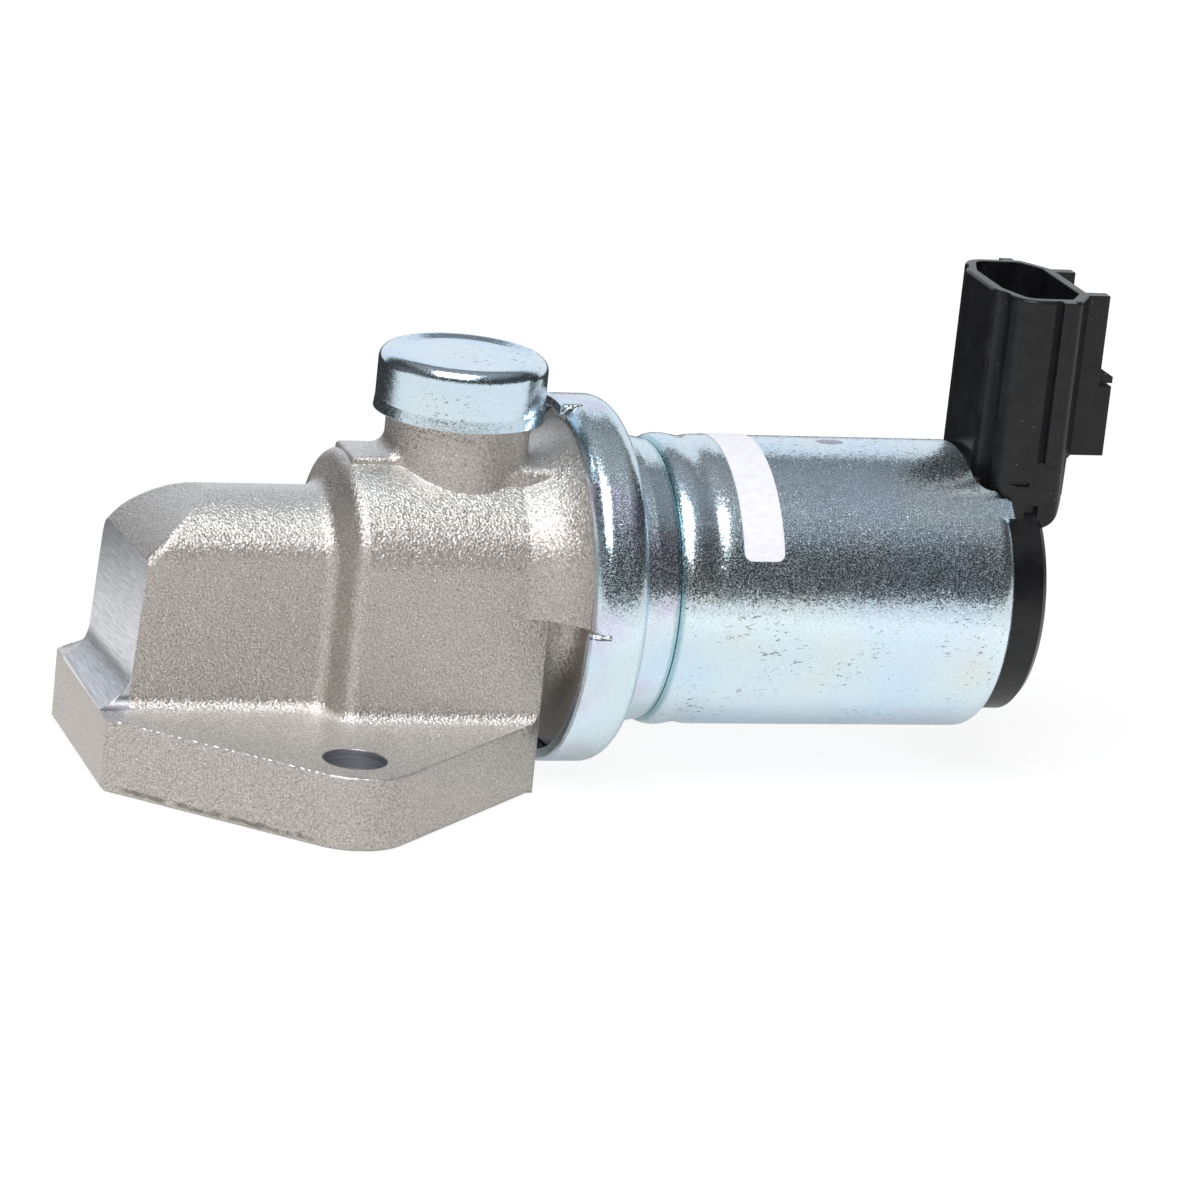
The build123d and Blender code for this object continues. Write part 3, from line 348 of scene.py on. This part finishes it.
def scuffed(tree, place, colour):
    """The colour with grey scuffs in clusters and a few nicks, and the mask of both."""
    cluster = add(tree, NOISE, {"Vector": place, "Scale": 1 / 7.0, "Detail": 1.0})
    cluster = add(tree, RANGE, {"Value": cluster, "From Min": 0.46, "From Max": 0.62}, **SMOOTH)
    long_way = add(tree, VECTOR, {0: place, 1: (0.4, 1.0, 1.0)}, operation="MULTIPLY")
    streaks = add(tree, NOISE, {
        "Vector": long_way, "Scale": 1 / 0.4, "Detail": 3.0, "Roughness": 0.7,
    })
    streaks = add(tree, RANGE, {"Value": streaks, "From Min": 0.59, "From Max": 0.65}, **SMOOTH)
    marks = add(tree, MATH, {0: streaks, 1: cluster}, operation="MULTIPLY")
    marks = add(tree, MATH, {0: marks, 1: dots(tree, place, 1.6, 0.26, 0.22)}, operation="MAXIMUM")
    amount = add(tree, MATH, {0: marks, 1: 0.85}, operation="MULTIPLY")
    return add(tree, MIX, {"Factor": amount, "A": colour, "B": "#777C80"}, **COLOUR), marks


print("zinc starts from the linear blue", [round(v, 2) for v in linear(zinc_blue)[:3]])

# %% [markdown]
# The inspector's purple ink dab sits on top of the can behind the label. Ink on plating has a soft,
# uneven edge, so the distance from its middle is shaken by noise before it is cut off.

# %% Ink dab
dab_x = 63.8
can_upper_side = 35.5


def inked(tree, place, z, colour):
    """The colour with a dab of purple ink on top of the can."""
    middle = add(tree, VECTOR, {0: place, 1: (-dab_x, 0.0, 0.0)}, operation="ADD")
    flat = add(tree, VECTOR, {0: middle, 1: (0.6, 1.0, 0.0)}, operation="MULTIPLY")
    away = add(tree, VECTOR, {0: flat}, operation="LENGTH")
    wander = add(tree, NOISE, {"Vector": place, "Scale": 1.0, "Detail": 2.0})
    reach = add(tree, MATH, {0: wander, 1: 0.9, 2: away}, operation="MULTIPLY_ADD")
    dab = add(tree, RANGE, {"Value": reach, "From Min": 1.7, "From Max": 1.4, "To Max": 0.7}, **SMOOTH)
    on_top = add(tree, MATH, {0: z, 1: can_upper_side}, operation="GREATER_THAN")
    dab = add(tree, MATH, {0: dab, 1: on_top}, operation="MULTIPLY")
    return add(tree, MIX, {"Factor": dab, "A": colour, "B": "#6E5A86"}, **COLOUR)


print("the ink dab is", dab_x, "mm along the valve")

# %% Zinc plated steel
joint_groove_x = 41.2
crystal_bloom = 0.11
crystal_facet = 0.12
sheet_edge_radius = 0.15


def zinc_plate(name, line_axis, line_depth, lean, dull, roughness, lilac, marked=False, dab=False):
    """Zinc plate on steel. Turning lines change along line_axis. Crystals lean, and some are dull."""
    material, tree, place, (x, _, z) = new_material(name)
    colour = zinc_colour(tree, place, lilac)
    cloud = add(tree, NOISE, {"Vector": place, "Scale": 1 / 3.0, "Detail": 3.0})
    rough = add(tree, MATH, {0: cloud, 1: 0.08, 2: roughness - 0.04}, operation="MULTIPLY_ADD")
    drawn = add(tree, VECTOR, {0: place, 1: (0.7, 1.0, 1.0)}, operation="MULTIPLY")
    bloom = add(tree, NOISE, {
        "Vector": drawn, "Scale": 1 / crystal_bloom, "Detail": 2.0, "Roughness": 0.6,
    })
    bloom = add(tree, RANGE, {
        "Value": bloom, "From Min": 0.46, "From Max": 0.7, "To Max": dull,
    }, **SMOOTH)
    rough = add(tree, MATH, {0: rough, 1: bloom}, operation="ADD")
    from_groove = add(tree, MATH, {0: x, 1: joint_groove_x}, operation="SUBTRACT")
    from_groove = add(tree, MATH, {0: from_groove}, operation="ABSOLUTE")
    teal = add(tree, RANGE, {
        "Value": from_groove, "From Min": 0.75, "From Max": 0.35, "To Max": 0.6,
    }, **SMOOTH)
    colour = add(tree, MIX, {"Factor": teal, "A": colour, "B": "#7FB3BC"}, **COLOUR)
    if marked:
        colour, marks = scuffed(tree, place, colour)
        rough = add(tree, MATH, {0: marks, 1: 0.2, 2: rough}, operation="MULTIPLY_ADD")
    if dab:
        colour = inked(tree, place, z, colour)

    squeeze = {"X": (1.0, 0.02, 0.02), "Z": (0.02, 0.02, 1.0)}[line_axis]
    round_axis = add(tree, VECTOR, {0: place, 1: squeeze}, operation="MULTIPLY")
    lines = add(tree, NOISE, {
        "Vector": round_axis, "Scale": 1 / 0.35, "Detail": 4.0, "Roughness": 0.7,
    })
    edges = add(tree, "ShaderNodeBevel", {"Radius": sheet_edge_radius * MM}, samples=4)
    turned = add(tree, BUMP, {"Height": lines, "Distance": line_depth * MM, "Normal": edges})
    shader = add(tree, "ShaderNodeBsdfPrincipled", {
        "Base Color": colour,
        "Metallic": 1.0,
        "Roughness": rough,
        "Normal": facets(tree, drawn, crystal_facet, lean, 3 * lean, turned),
    })
    add(tree, "ShaderNodeOutputMaterial", {"Surface": shader})
    return material


zinc_can = zinc_plate(
    "zinc_plated_steel_drawn_can", "X", line_depth=0.001, lean=0.09, dull=0.5, roughness=0.11, lilac=0.12,
    marked=True, dab=True,
)
zinc_shell = zinc_plate(
    "zinc_plated_steel_crimped_shell", "X", line_depth=0.005, lean=0.08, dull=0.5, roughness=0.12,
    lilac=0.45,
)
zinc_cap = zinc_plate(
    "zinc_plated_steel_drawn_cap", "Z", line_depth=0.004, lean=0.04, dull=0.25, roughness=0.13, lilac=0.12,
    marked=True,
)
zinc_steel = zinc_plate(
    "zinc_plated_steel_plate", "X", line_depth=0.004, lean=0.06, dull=0.1, roughness=0.3, lilac=0.3,
)
print("made the zinc plated finishes")

# %% [markdown]
# ## Moulded nylon
# The plug socket is glass-filled nylon, black all through. The mould gives it a satin skin with a
# very fine grain. Glass fibres just under the skin make it a little cloudy, and static draws dust.
# The skin is duller than bare resin, so its specular level is low.

# %% Black moulded plastic
def moulded_nylon(name, dark, light, dust):
    """Glass-filled nylon as it comes from the mould, with a share of dust."""
    material, tree, place, _ = new_material(name)
    cloud = add(tree, NOISE, {"Vector": place, "Scale": 1 / 2.5, "Detail": 3.0})
    paler = add(tree, RANGE, {"Value": cloud, "From Min": 0.35, "From Max": 0.7}, **SMOOTH)
    base = add(tree, MIX, {"Factor": paler, "A": dark, "B": light}, **COLOUR)
    specks = dots(tree, place, 0.8, 0.15, dust)
    base = add(tree, MIX, {"Factor": specks, "A": base, "B": "#9C978E"}, **COLOUR)
    grain = add(tree, NOISE, {"Vector": place, "Scale": 1 / 0.2, "Detail": 2.0})
    edges = add(tree, "ShaderNodeBevel", {"Radius": 0.25 * MM}, samples=4)
    shader = add(tree, "ShaderNodeBsdfPrincipled", {
        "Base Color": base,
        "Roughness": add(tree, MATH, {0: cloud, 1: 0.14, 2: 0.24}, operation="MULTIPLY_ADD"),
        "IOR": 1.53,
        "Specular IOR Level": 0.3,
        "Normal": add(tree, BUMP, {"Height": grain, "Distance": 0.006 * MM, "Normal": edges}),
    })
    add(tree, "ShaderNodeOutputMaterial", {"Surface": shader})
    return material


black_nylon = moulded_nylon("nylon_glass_filled_black", "#151517", "#1F1F21", 0.16)
bobbin_nylon = moulded_nylon("nylon_bobbin_dark", "#1D1C1A", "#262523", 0.0)
print("made", black_nylon.name)

# %% [markdown]
# ## Stock materials
# Paper, brass, ground steel, spring wire, aluminium, rubber, copper, tin and foam each need two close
# tones in one grain, which is also their relief. So one function makes them all, and a squeeze of the
# pattern draws the grain out into lines, as a lathe does. The label is plain coated paper, white with a
# slightly violet cast from its brightener.

# %% Paper and the pieces inside
def stock(name, dark, light, grain_mm, depth_mm, metallic, roughness, squeeze=(1.0, 1.0, 1.0)):
    """A stock material: two close tones in a grain, with the same grain as relief."""
    material, tree, place, _ = new_material(name)
    squeezed = add(tree, VECTOR, {0: place, 1: squeeze}, operation="MULTIPLY")
    grain = add(tree, NOISE, {
        "Vector": squeezed, "Scale": 1 / grain_mm, "Detail": 3.0, "Roughness": 0.6,
    })
    paler = add(tree, RANGE, {"Value": grain, "From Min": 0.3, "From Max": 0.7}, **SMOOTH)
    shader = add(tree, "ShaderNodeBsdfPrincipled", {
        "Base Color": add(tree, MIX, {"Factor": paler, "A": dark, "B": light}, **COLOUR),
        "Metallic": metallic,
        "Roughness": roughness,
        "Normal": add(tree, BUMP, {"Height": grain, "Distance": depth_mm * MM}),
    })
    add(tree, "ShaderNodeOutputMaterial", {"Surface": shader})
    return material


lathe = (1.0, 0.03, 0.03)
paper = stock("paper_coated_white", "#F1F0F8", "#FCFBFF", 0.6, 0.004, 0.0, 0.45, (0.5, 1.0, 1.0))
brass = stock("brass_turned", "#C29A52", "#D8B46C", 0.25, 0.004, 1.0, 0.28, lathe)
ground_steel = stock("steel_ground", "#A9ABAD", "#C6C8CA", 0.2, 0.003, 1.0, 0.3, lathe)
spring_wire = stock("steel_spring_wire", "#8E9195", "#A9ACB0", 0.2, 0.003, 1.0, 0.32)
turned_aluminium = stock("aluminium_turned", "#C9CACC", "#DCDDDF", 0.25, 0.004, 1.0, 0.3, lathe)
rubber = stock("rubber_nitrile", "#17171A", "#222224", 0.3, 0.01, 0.0, 0.6)
copper = stock("copper_enamelled_wire", "#9C5A32", "#BC7442", 0.4, 0.08, 1.0, 0.3, (1.0, 0.02, 0.02))
tin = stock("tin_plated_contact", "#C9C7BF", "#DAD8D1", 0.3, 0.003, 1.0, 0.26, (1.0, 1.0, 0.1))
foam = stock("foam_open_cell", "#141414", "#3A3A38", 0.5, 0.2, 0.0, 0.9)
print("made the stock materials")

# %% Give each piece of the frame its finish
finishes = {
    "valve_body": cast_body, "vent_cap": zinc_cap, "front_shell": zinc_shell, "solenoid_can": zinc_can,
    "front_plate": zinc_steel, "rear_plate": zinc_steel, "connector_housing": black_nylon,
    "label_strip": paper, "vent_filter": foam, "valve_seat": brass, "guide_bush": brass,
    "core_shim": brass, "valve_poppet": turned_aluminium, "valve_stem": ground_steel,
    "stem_clip": spring_wire, "armature": ground_steel, "pole_core": ground_steel,
    "armature_sleeve": ground_steel, "return_spring": spring_wire, "face_seal": rubber,
    "body_seal": rubber, "coil_bobbin": bobbin_nylon, "coil_winding": copper,
    "terminal_front": tin, "terminal_back": tin,
}
for node_name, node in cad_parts.items():
    for slot in node.material_slots:
        slot.material = finishes[node_name]
print("dressed", len(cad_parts), "pieces of the frame")

# %% [markdown]
# ## The burr along the flange's edge
# Trimming the casting leaves a thin bright burr on the flange's upper edge. It follows the outline
# along the slanting sides and round the tips, and is never even. Geometry Nodes suit that: a curve is
# laid along the outline, its radius is shaken by noise, and a small section is swept along it.

# %% Flange outline
flange_half_length = 26.2
flange_end_half_width = 13.8
flange_tip_radius = 7.6
burr_inset = 0.22
burr_end_gap = 1.3
tip_steps = 24


def flange_side(side):
    """Points along one slanting half of the flange's upper edge in metres, its tip an arc."""
    rise = bolt_offset - flange_end_half_width
    reach = hypot(flange_half_length, rise)
    slope = atan2(rise, flange_half_length) + asin(flange_tip_radius / reach)
    radius = flange_tip_radius - burr_inset
    end_x = flange_half_length - burr_end_gap * cos(slope)
    end_y = flange_end_half_width + burr_end_gap * sin(slope) - burr_inset
    points = [(-end_x, end_y)]
    for step in range(tip_steps + 1):
        swing = slope * (2 * step / tip_steps - 1)
        points.append((radius * sin(swing), bolt_offset + radius * cos(swing)))
    points.append((end_x, end_y))
    return [Vector((px, side * py, flange_top)) * MM for px, py in points]


front_side, back_side = flange_side(-1), flange_side(1)
outline = front_side + back_side
print("the burr's path has", len(outline), "points")

# %% Sliver tree
lumps_per_metre = 1500.0
shakes_per_metre = 1700.0
section_sides = 6


def sliver_tree(material):
    """A node tree: curves along the input edges, uneven radius, swept round and shaken."""
    tree = bpy.data.node_groups.new("sliver", "GeometryNodeTree")
    face = tree.interface
    face.new_socket("Geometry", in_out="INPUT", socket_type="NodeSocketGeometry")
    for name in ("Radius", "Spacing", "Wander", "Seed"):
        face.new_socket(name, in_out="INPUT", socket_type="NodeSocketFloat")
    face.new_socket("Geometry", in_out="OUTPUT", socket_type="NodeSocketGeometry")
    start = add(tree, "NodeGroupInput").outputs
    curve = add(tree, "GeometryNodeMeshToCurve", {"Mesh": start["Geometry"]})
    even = add(tree, "GeometryNodeResampleCurve", {
        "Curve": curve, "Length": start["Spacing"],
    }, mode="LENGTH")
    lumps = add(tree, NOISE, {
        "W": start["Seed"], "Scale": lumps_per_metre, "Detail": 2.0,
    }, noise_dimensions="4D")
    swell = add(tree, RANGE, {
        "Value": lumps, "From Min": 0.4, "From Max": 0.62, "To Min": 0.5, "To Max": 1.0,
    })
    radius = add(tree, MATH, {0: swell, 1: start["Radius"]}, operation="MULTIPLY")
    sized = add(tree, "GeometryNodeSetCurveRadius", {"Curve": even, "Radius": radius})
    section = add(tree, "GeometryNodeCurvePrimitiveCircle", {"Resolution": section_sides, "Radius": 1.0})
    swept = add(tree, "GeometryNodeCurveToMesh", {
        "Curve": sized, "Profile Curve": section, "Scale": add(tree, "GeometryNodeInputRadius"),
        "Fill Caps": True,
    })
    shake = add(tree, NOISE, {
        "W": start["Seed"], "Scale": shakes_per_metre, "Detail": 1.0,
    }, noise_dimensions="4D")
    centred = add(tree, VECTOR, {0: shake.outputs["Color"], 1: (-0.5, -0.5, -0.5)}, operation="ADD")
    offset = add(tree, VECTOR, {0: centred, "Scale": start["Wander"]}, operation="SCALE")
    moved = add(tree, "GeometryNodeSetPosition", {"Geometry": swept, "Offset": offset})
    smooth = add(tree, "GeometryNodeSetShadeSmooth", {"Geometry": moved})
    real = add(tree, "GeometryNodeRealizeInstances", {"Geometry": smooth})
    painted = add(tree, "GeometryNodeSetMaterial", {"Geometry": real, "Material": material})
    add(tree, "NodeGroupOutput", {"Geometry": painted})
    return tree


print("slivers have a section of", section_sides, "sides")

# %% Grow a piece
def grown(name, points, edges, tree, values):
    """A plain mesh grown by a node tree along the given edges."""
    path_mesh = bpy.data.meshes.new(name + "_seed")
    path_mesh.from_pydata(points, edges, [])
    carrier = bpy.data.objects.new(name + "_carrier", path_mesh)
    bpy.context.scene.collection.objects.link(carrier)
    modifier = carrier.modifiers.new("grow", "NODES")
    modifier.node_group = tree
    for item in tree.interface.items_tree:
        if item.in_out == "INPUT" and item.name in values:
            modifier[item.identifier] = values[item.name]
    evaluated = carrier.evaluated_get(bpy.context.evaluated_depsgraph_get())
    mesh = bpy.data.meshes.new_from_object(evaluated)
    carrier.modifiers.remove(modifier)
    bpy.data.objects.remove(carrier)
    piece = bpy.data.objects.new(name, mesh)
    bpy.context.scene.collection.objects.link(piece)
    return piece


side_length = sum((b - a).length for a, b in zip(front_side, front_side[1:])) / MM
print("the burr's path runs for", round(side_length), "mm along each side")

# %% Burr
bright_metal = stock("aluminium_burr_bright", "#E4E3E1", "#FBFAF8", 0.2, 0.004, 1.0, 0.35)
path_edges = [(i, i + 1) for i in range(len(outline) - 1) if i != len(front_side) - 1]
burr = grown("flange_burr", outline, path_edges, sliver_tree(bright_metal),
             {"Radius": 0.19 * MM, "Spacing": 0.16 * MM, "Wander": 0.06 * MM, "Seed": 3.0})
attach(burr, "housing")
print("the burr has", len(burr.data.polygons), "faces")

# %% [markdown]
# ## Torn flash at the crimp
# The shell's lip is rolled over the casting in two runs. Where the rolling starts and stops, the edge
# tears and leaves a ragged bright sliver in the notch. The same node tree grows them, along short
# paths that climb from the casting over the lip.

# %% Slivers in the lip's notches
axis_height = 22.7
notch_angles = [6.25, 92.25, 186.25, 272.25]
climb = [(28.9, 20.95), (29.3, 21.5), (29.9, 21.85), (30.6, 21.95), (31.2, 21.95)]
climb_points, climb_edges = [], []
for notch in notch_angles:
    first = len(climb_points)
    for place_x, place_radius in climb:
        to_front = -place_radius * sin(radians(notch))
        upward = axis_height + place_radius * cos(radians(notch))
        climb_points.append(Vector((place_x, to_front, upward)) * MM)
    climb_edges += [(first + i, first + i + 1) for i in range(len(climb) - 1)]
torn_zinc = stock("zinc_torn_edge", "#DCE0E2", "#F6F7F7", 0.3, 0.01, 1.0, 0.32)
flash = grown("lip_flash", climb_points, climb_edges, sliver_tree(torn_zinc),
              {"Radius": 0.32 * MM, "Spacing": 0.12 * MM, "Wander": 0.25 * MM, "Seed": 5.0})
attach(flash, "housing")
print("the flash has", len(flash.data.polygons), "faces")

# %% [markdown]
# ## A merged copy of the return spring
# The plunger presses the return spring together as it opens the valve, and a rigid solid would let the
# poppet cut through it. A copy of the spring, which rests on the pole plate, takes the solid's place and
# rides on the housing; it stays rigid. The solid's mesh is loose triangles, so the copy is merged.

# %% Merged copy of the spring
merged = bmesh.new()
merged.from_mesh(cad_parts["return_spring"].data)
bmesh.ops.remove_doubles(merged, verts=merged.verts, dist=0.001 * MM)
coil_mesh = bpy.data.meshes.new("return_spring_coil")
merged.to_mesh(coil_mesh)
merged.free()
coil_mesh.shade_smooth()
coil_mesh.materials.append(spring_wire)
coil = bpy.data.objects.new("return_spring_coil", coil_mesh)
bpy.context.scene.collection.objects.link(coil)
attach(coil, "housing")
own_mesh(coil)
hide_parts("return_spring")

# %% [markdown]
# ## The studio
# The valve stands on a white table in front of a white backdrop, in a dim room. One large softbox,
# above the camera and to its left, gives the casting its bright shoulders. The zinc plate mirrors all of
# it: table below, dim room in the middle, backdrop along the top. The table is lifted towards pure
# white where the camera sees it, more so away from the valve, and keeps the valve's soft shadow near
# it. The plating sees it pale too, dimmer in the valve's shadow and dark far behind the valve.

# %% Floor
table_reach = 4.0
table_drop = 0.02
valve_middle_x = 37.0
camera_white = 1.06


def white_table():
    """White laminate, lifted to white for the camera, and by its place for the plating's mirror."""
    material, tree, place, (_, y, _) = new_material("table_laminate_white")
    from_valve = add(tree, VECTOR, {0: place, 1: (-valve_middle_x, 0.0, 0.0)}, operation="ADD")
    away = add(tree, VECTOR, {0: from_valve}, operation="LENGTH")
    ray = add(tree, "ShaderNodeLightPath").outputs
    for_camera = add(tree, RANGE, {
        "Value": away, "From Min": 60.0, "From Max": 150.0, "To Min": 0.84,
    }, **SMOOTH)
    for_mirror = add(tree, RANGE, {
        "Value": away, "From Min": 30.0, "From Max": 120.0, "To Min": 0.24, "To Max": 1.0,
    }, **SMOOTH)
    seen = add(tree, MATH, {0: for_camera, 1: ray["Is Camera Ray"]}, operation="MULTIPLY")
    far = add(tree, RANGE, {
        "Value": away, "From Min": 100.0, "From Max": 150.0, "To Min": 1.22, "To Max": 0.95,
    }, **SMOOTH)
    in_front = add(tree, RANGE, {
        "Value": y, "From Min": 110.0, "From Max": 68.0, "To Min": 0.04, "To Max": far,
    }, **SMOOTH)
    strength = add(tree, MIX, {"Factor": ray["Is Camera Ray"], "A": in_front, "B": camera_white})
    mirrored = add(tree, MATH, {0: for_mirror, 1: ray["Is Glossy Ray"]}, operation="MULTIPLY")
    lift = add(tree, MATH, {0: seen, 1: mirrored}, operation="MAXIMUM")
    diffuse = add(tree, "ShaderNodeBsdfDiffuse", {"Color": "#F4F4F4"})
    glow = add(tree, "ShaderNodeEmission", {"Color": "#FFFFFF", "Strength": strength})
    add(tree, "ShaderNodeOutputMaterial", {"Surface": add(tree, "ShaderNodeMixShader", {
        0: lift, 1: diffuse, 2: glow,
    })})
    return material


table_mesh = bpy.data.meshes.new("table")
signs = ((-1, -1), (1, -1), (1, 1), (-1, 1))
corners = [(a * table_reach, b * table_reach, -table_drop * MM) for a, b in signs]
table_mesh.from_pydata(corners, [], [(0, 1, 2, 3)])
table_mesh.materials.append(white_table())
table = bpy.data.objects.new("table", table_mesh)
bpy.context.scene.collection.objects.link(table)
print("the table is", 2 * table_reach, "m wide")

# %% Lamp
lamp_azimuth, lamp_elevation = radians(-148), radians(55)
lamp_distance = 1.1
lamp_width = 0.8
lamp_power = 12.0
to_lamp = Vector((
    sin(lamp_azimuth) * cos(lamp_elevation), cos(lamp_azimuth) * cos(lamp_elevation), sin(lamp_elevation),
))
lamp_data = bpy.data.lights.new("key_softbox", "AREA")
lamp_data.shape = "SQUARE"
lamp_data.size = lamp_width
lamp_data.energy = lamp_power
lamp = bpy.data.objects.new("key_softbox", lamp_data)
lamp.location = look_at + to_lamp * lamp_distance
lamp.rotation_euler = to_lamp.to_track_quat("Z", "Y").to_euler()
bpy.context.scene.collection.objects.link(lamp)
print("the softbox stands at", [round(v, 2) for v in lamp.location], "m")

# %% World
def studio_world():
    """White to the camera. Otherwise a dim room, paler at the left, with a white backdrop behind."""
    world = bpy.data.worlds.new("studio")
    world.use_nodes = True
    tree = world.node_tree
    tree.nodes.clear()
    way = add(tree, "ShaderNodeTexCoord").outputs["Generated"]
    across, _, height = add(tree, SPLIT, {0: way}).outputs
    ahead = (sin(camera_azimuth), cos(camera_azimuth), 0.0)
    behind = add(tree, VECTOR, {0: way, 1: ahead}, operation="DOT_PRODUCT").outputs["Value"]
    wide = add(tree, RANGE, {"Value": behind, "From Min": 0.5, "From Max": 0.68}, **SMOOTH)
    tall = add(tree, RANGE, {"Value": height, "From Min": 0.7, "From Max": 0.64}, **SMOOTH)
    backdrop = add(tree, MATH, {0: wide, 1: tall}, operation="MULTIPLY")
    ceiling = add(tree, RANGE, {
        "Value": height, "From Min": 0.55, "From Max": 0.95, "To Min": 0.06, "To Max": 0.33,
    }, **SMOOTH)
    left = add(tree, RANGE, {
        "Value": across, "From Min": -0.7, "From Max": -0.95, "To Max": 0.14,
    }, **SMOOTH)
    ceiling = add(tree, MATH, {0: ceiling, 1: left}, operation="MAXIMUM")
    below = add(tree, RANGE, {"Value": height, "From Min": 0.0, "From Max": -0.02}, **SMOOTH)
    room = add(tree, MATH, {0: backdrop, 1: ceiling}, operation="MAXIMUM")
    room = add(tree, MATH, {0: room, 1: below}, operation="MAXIMUM")
    dim = add(tree, "ShaderNodeBackground", {"Color": "#F4F8FF", "Strength": room})
    white = add(tree, "ShaderNodeBackground", {"Color": "#FFFFFF", "Strength": 1.0})
    seen = add(tree, "ShaderNodeLightPath").outputs["Is Camera Ray"]
    mixed = add(tree, "ShaderNodeMixShader", {0: seen, 1: dim, 2: white})
    add(tree, "ShaderNodeOutputWorld", {"Surface": mixed})
    return world


bpy.context.scene.world = studio_world()
bpy.context.scene.view_settings.view_transform = "Standard"
print("the studio has", len(bpy.data.lights), "lamp")
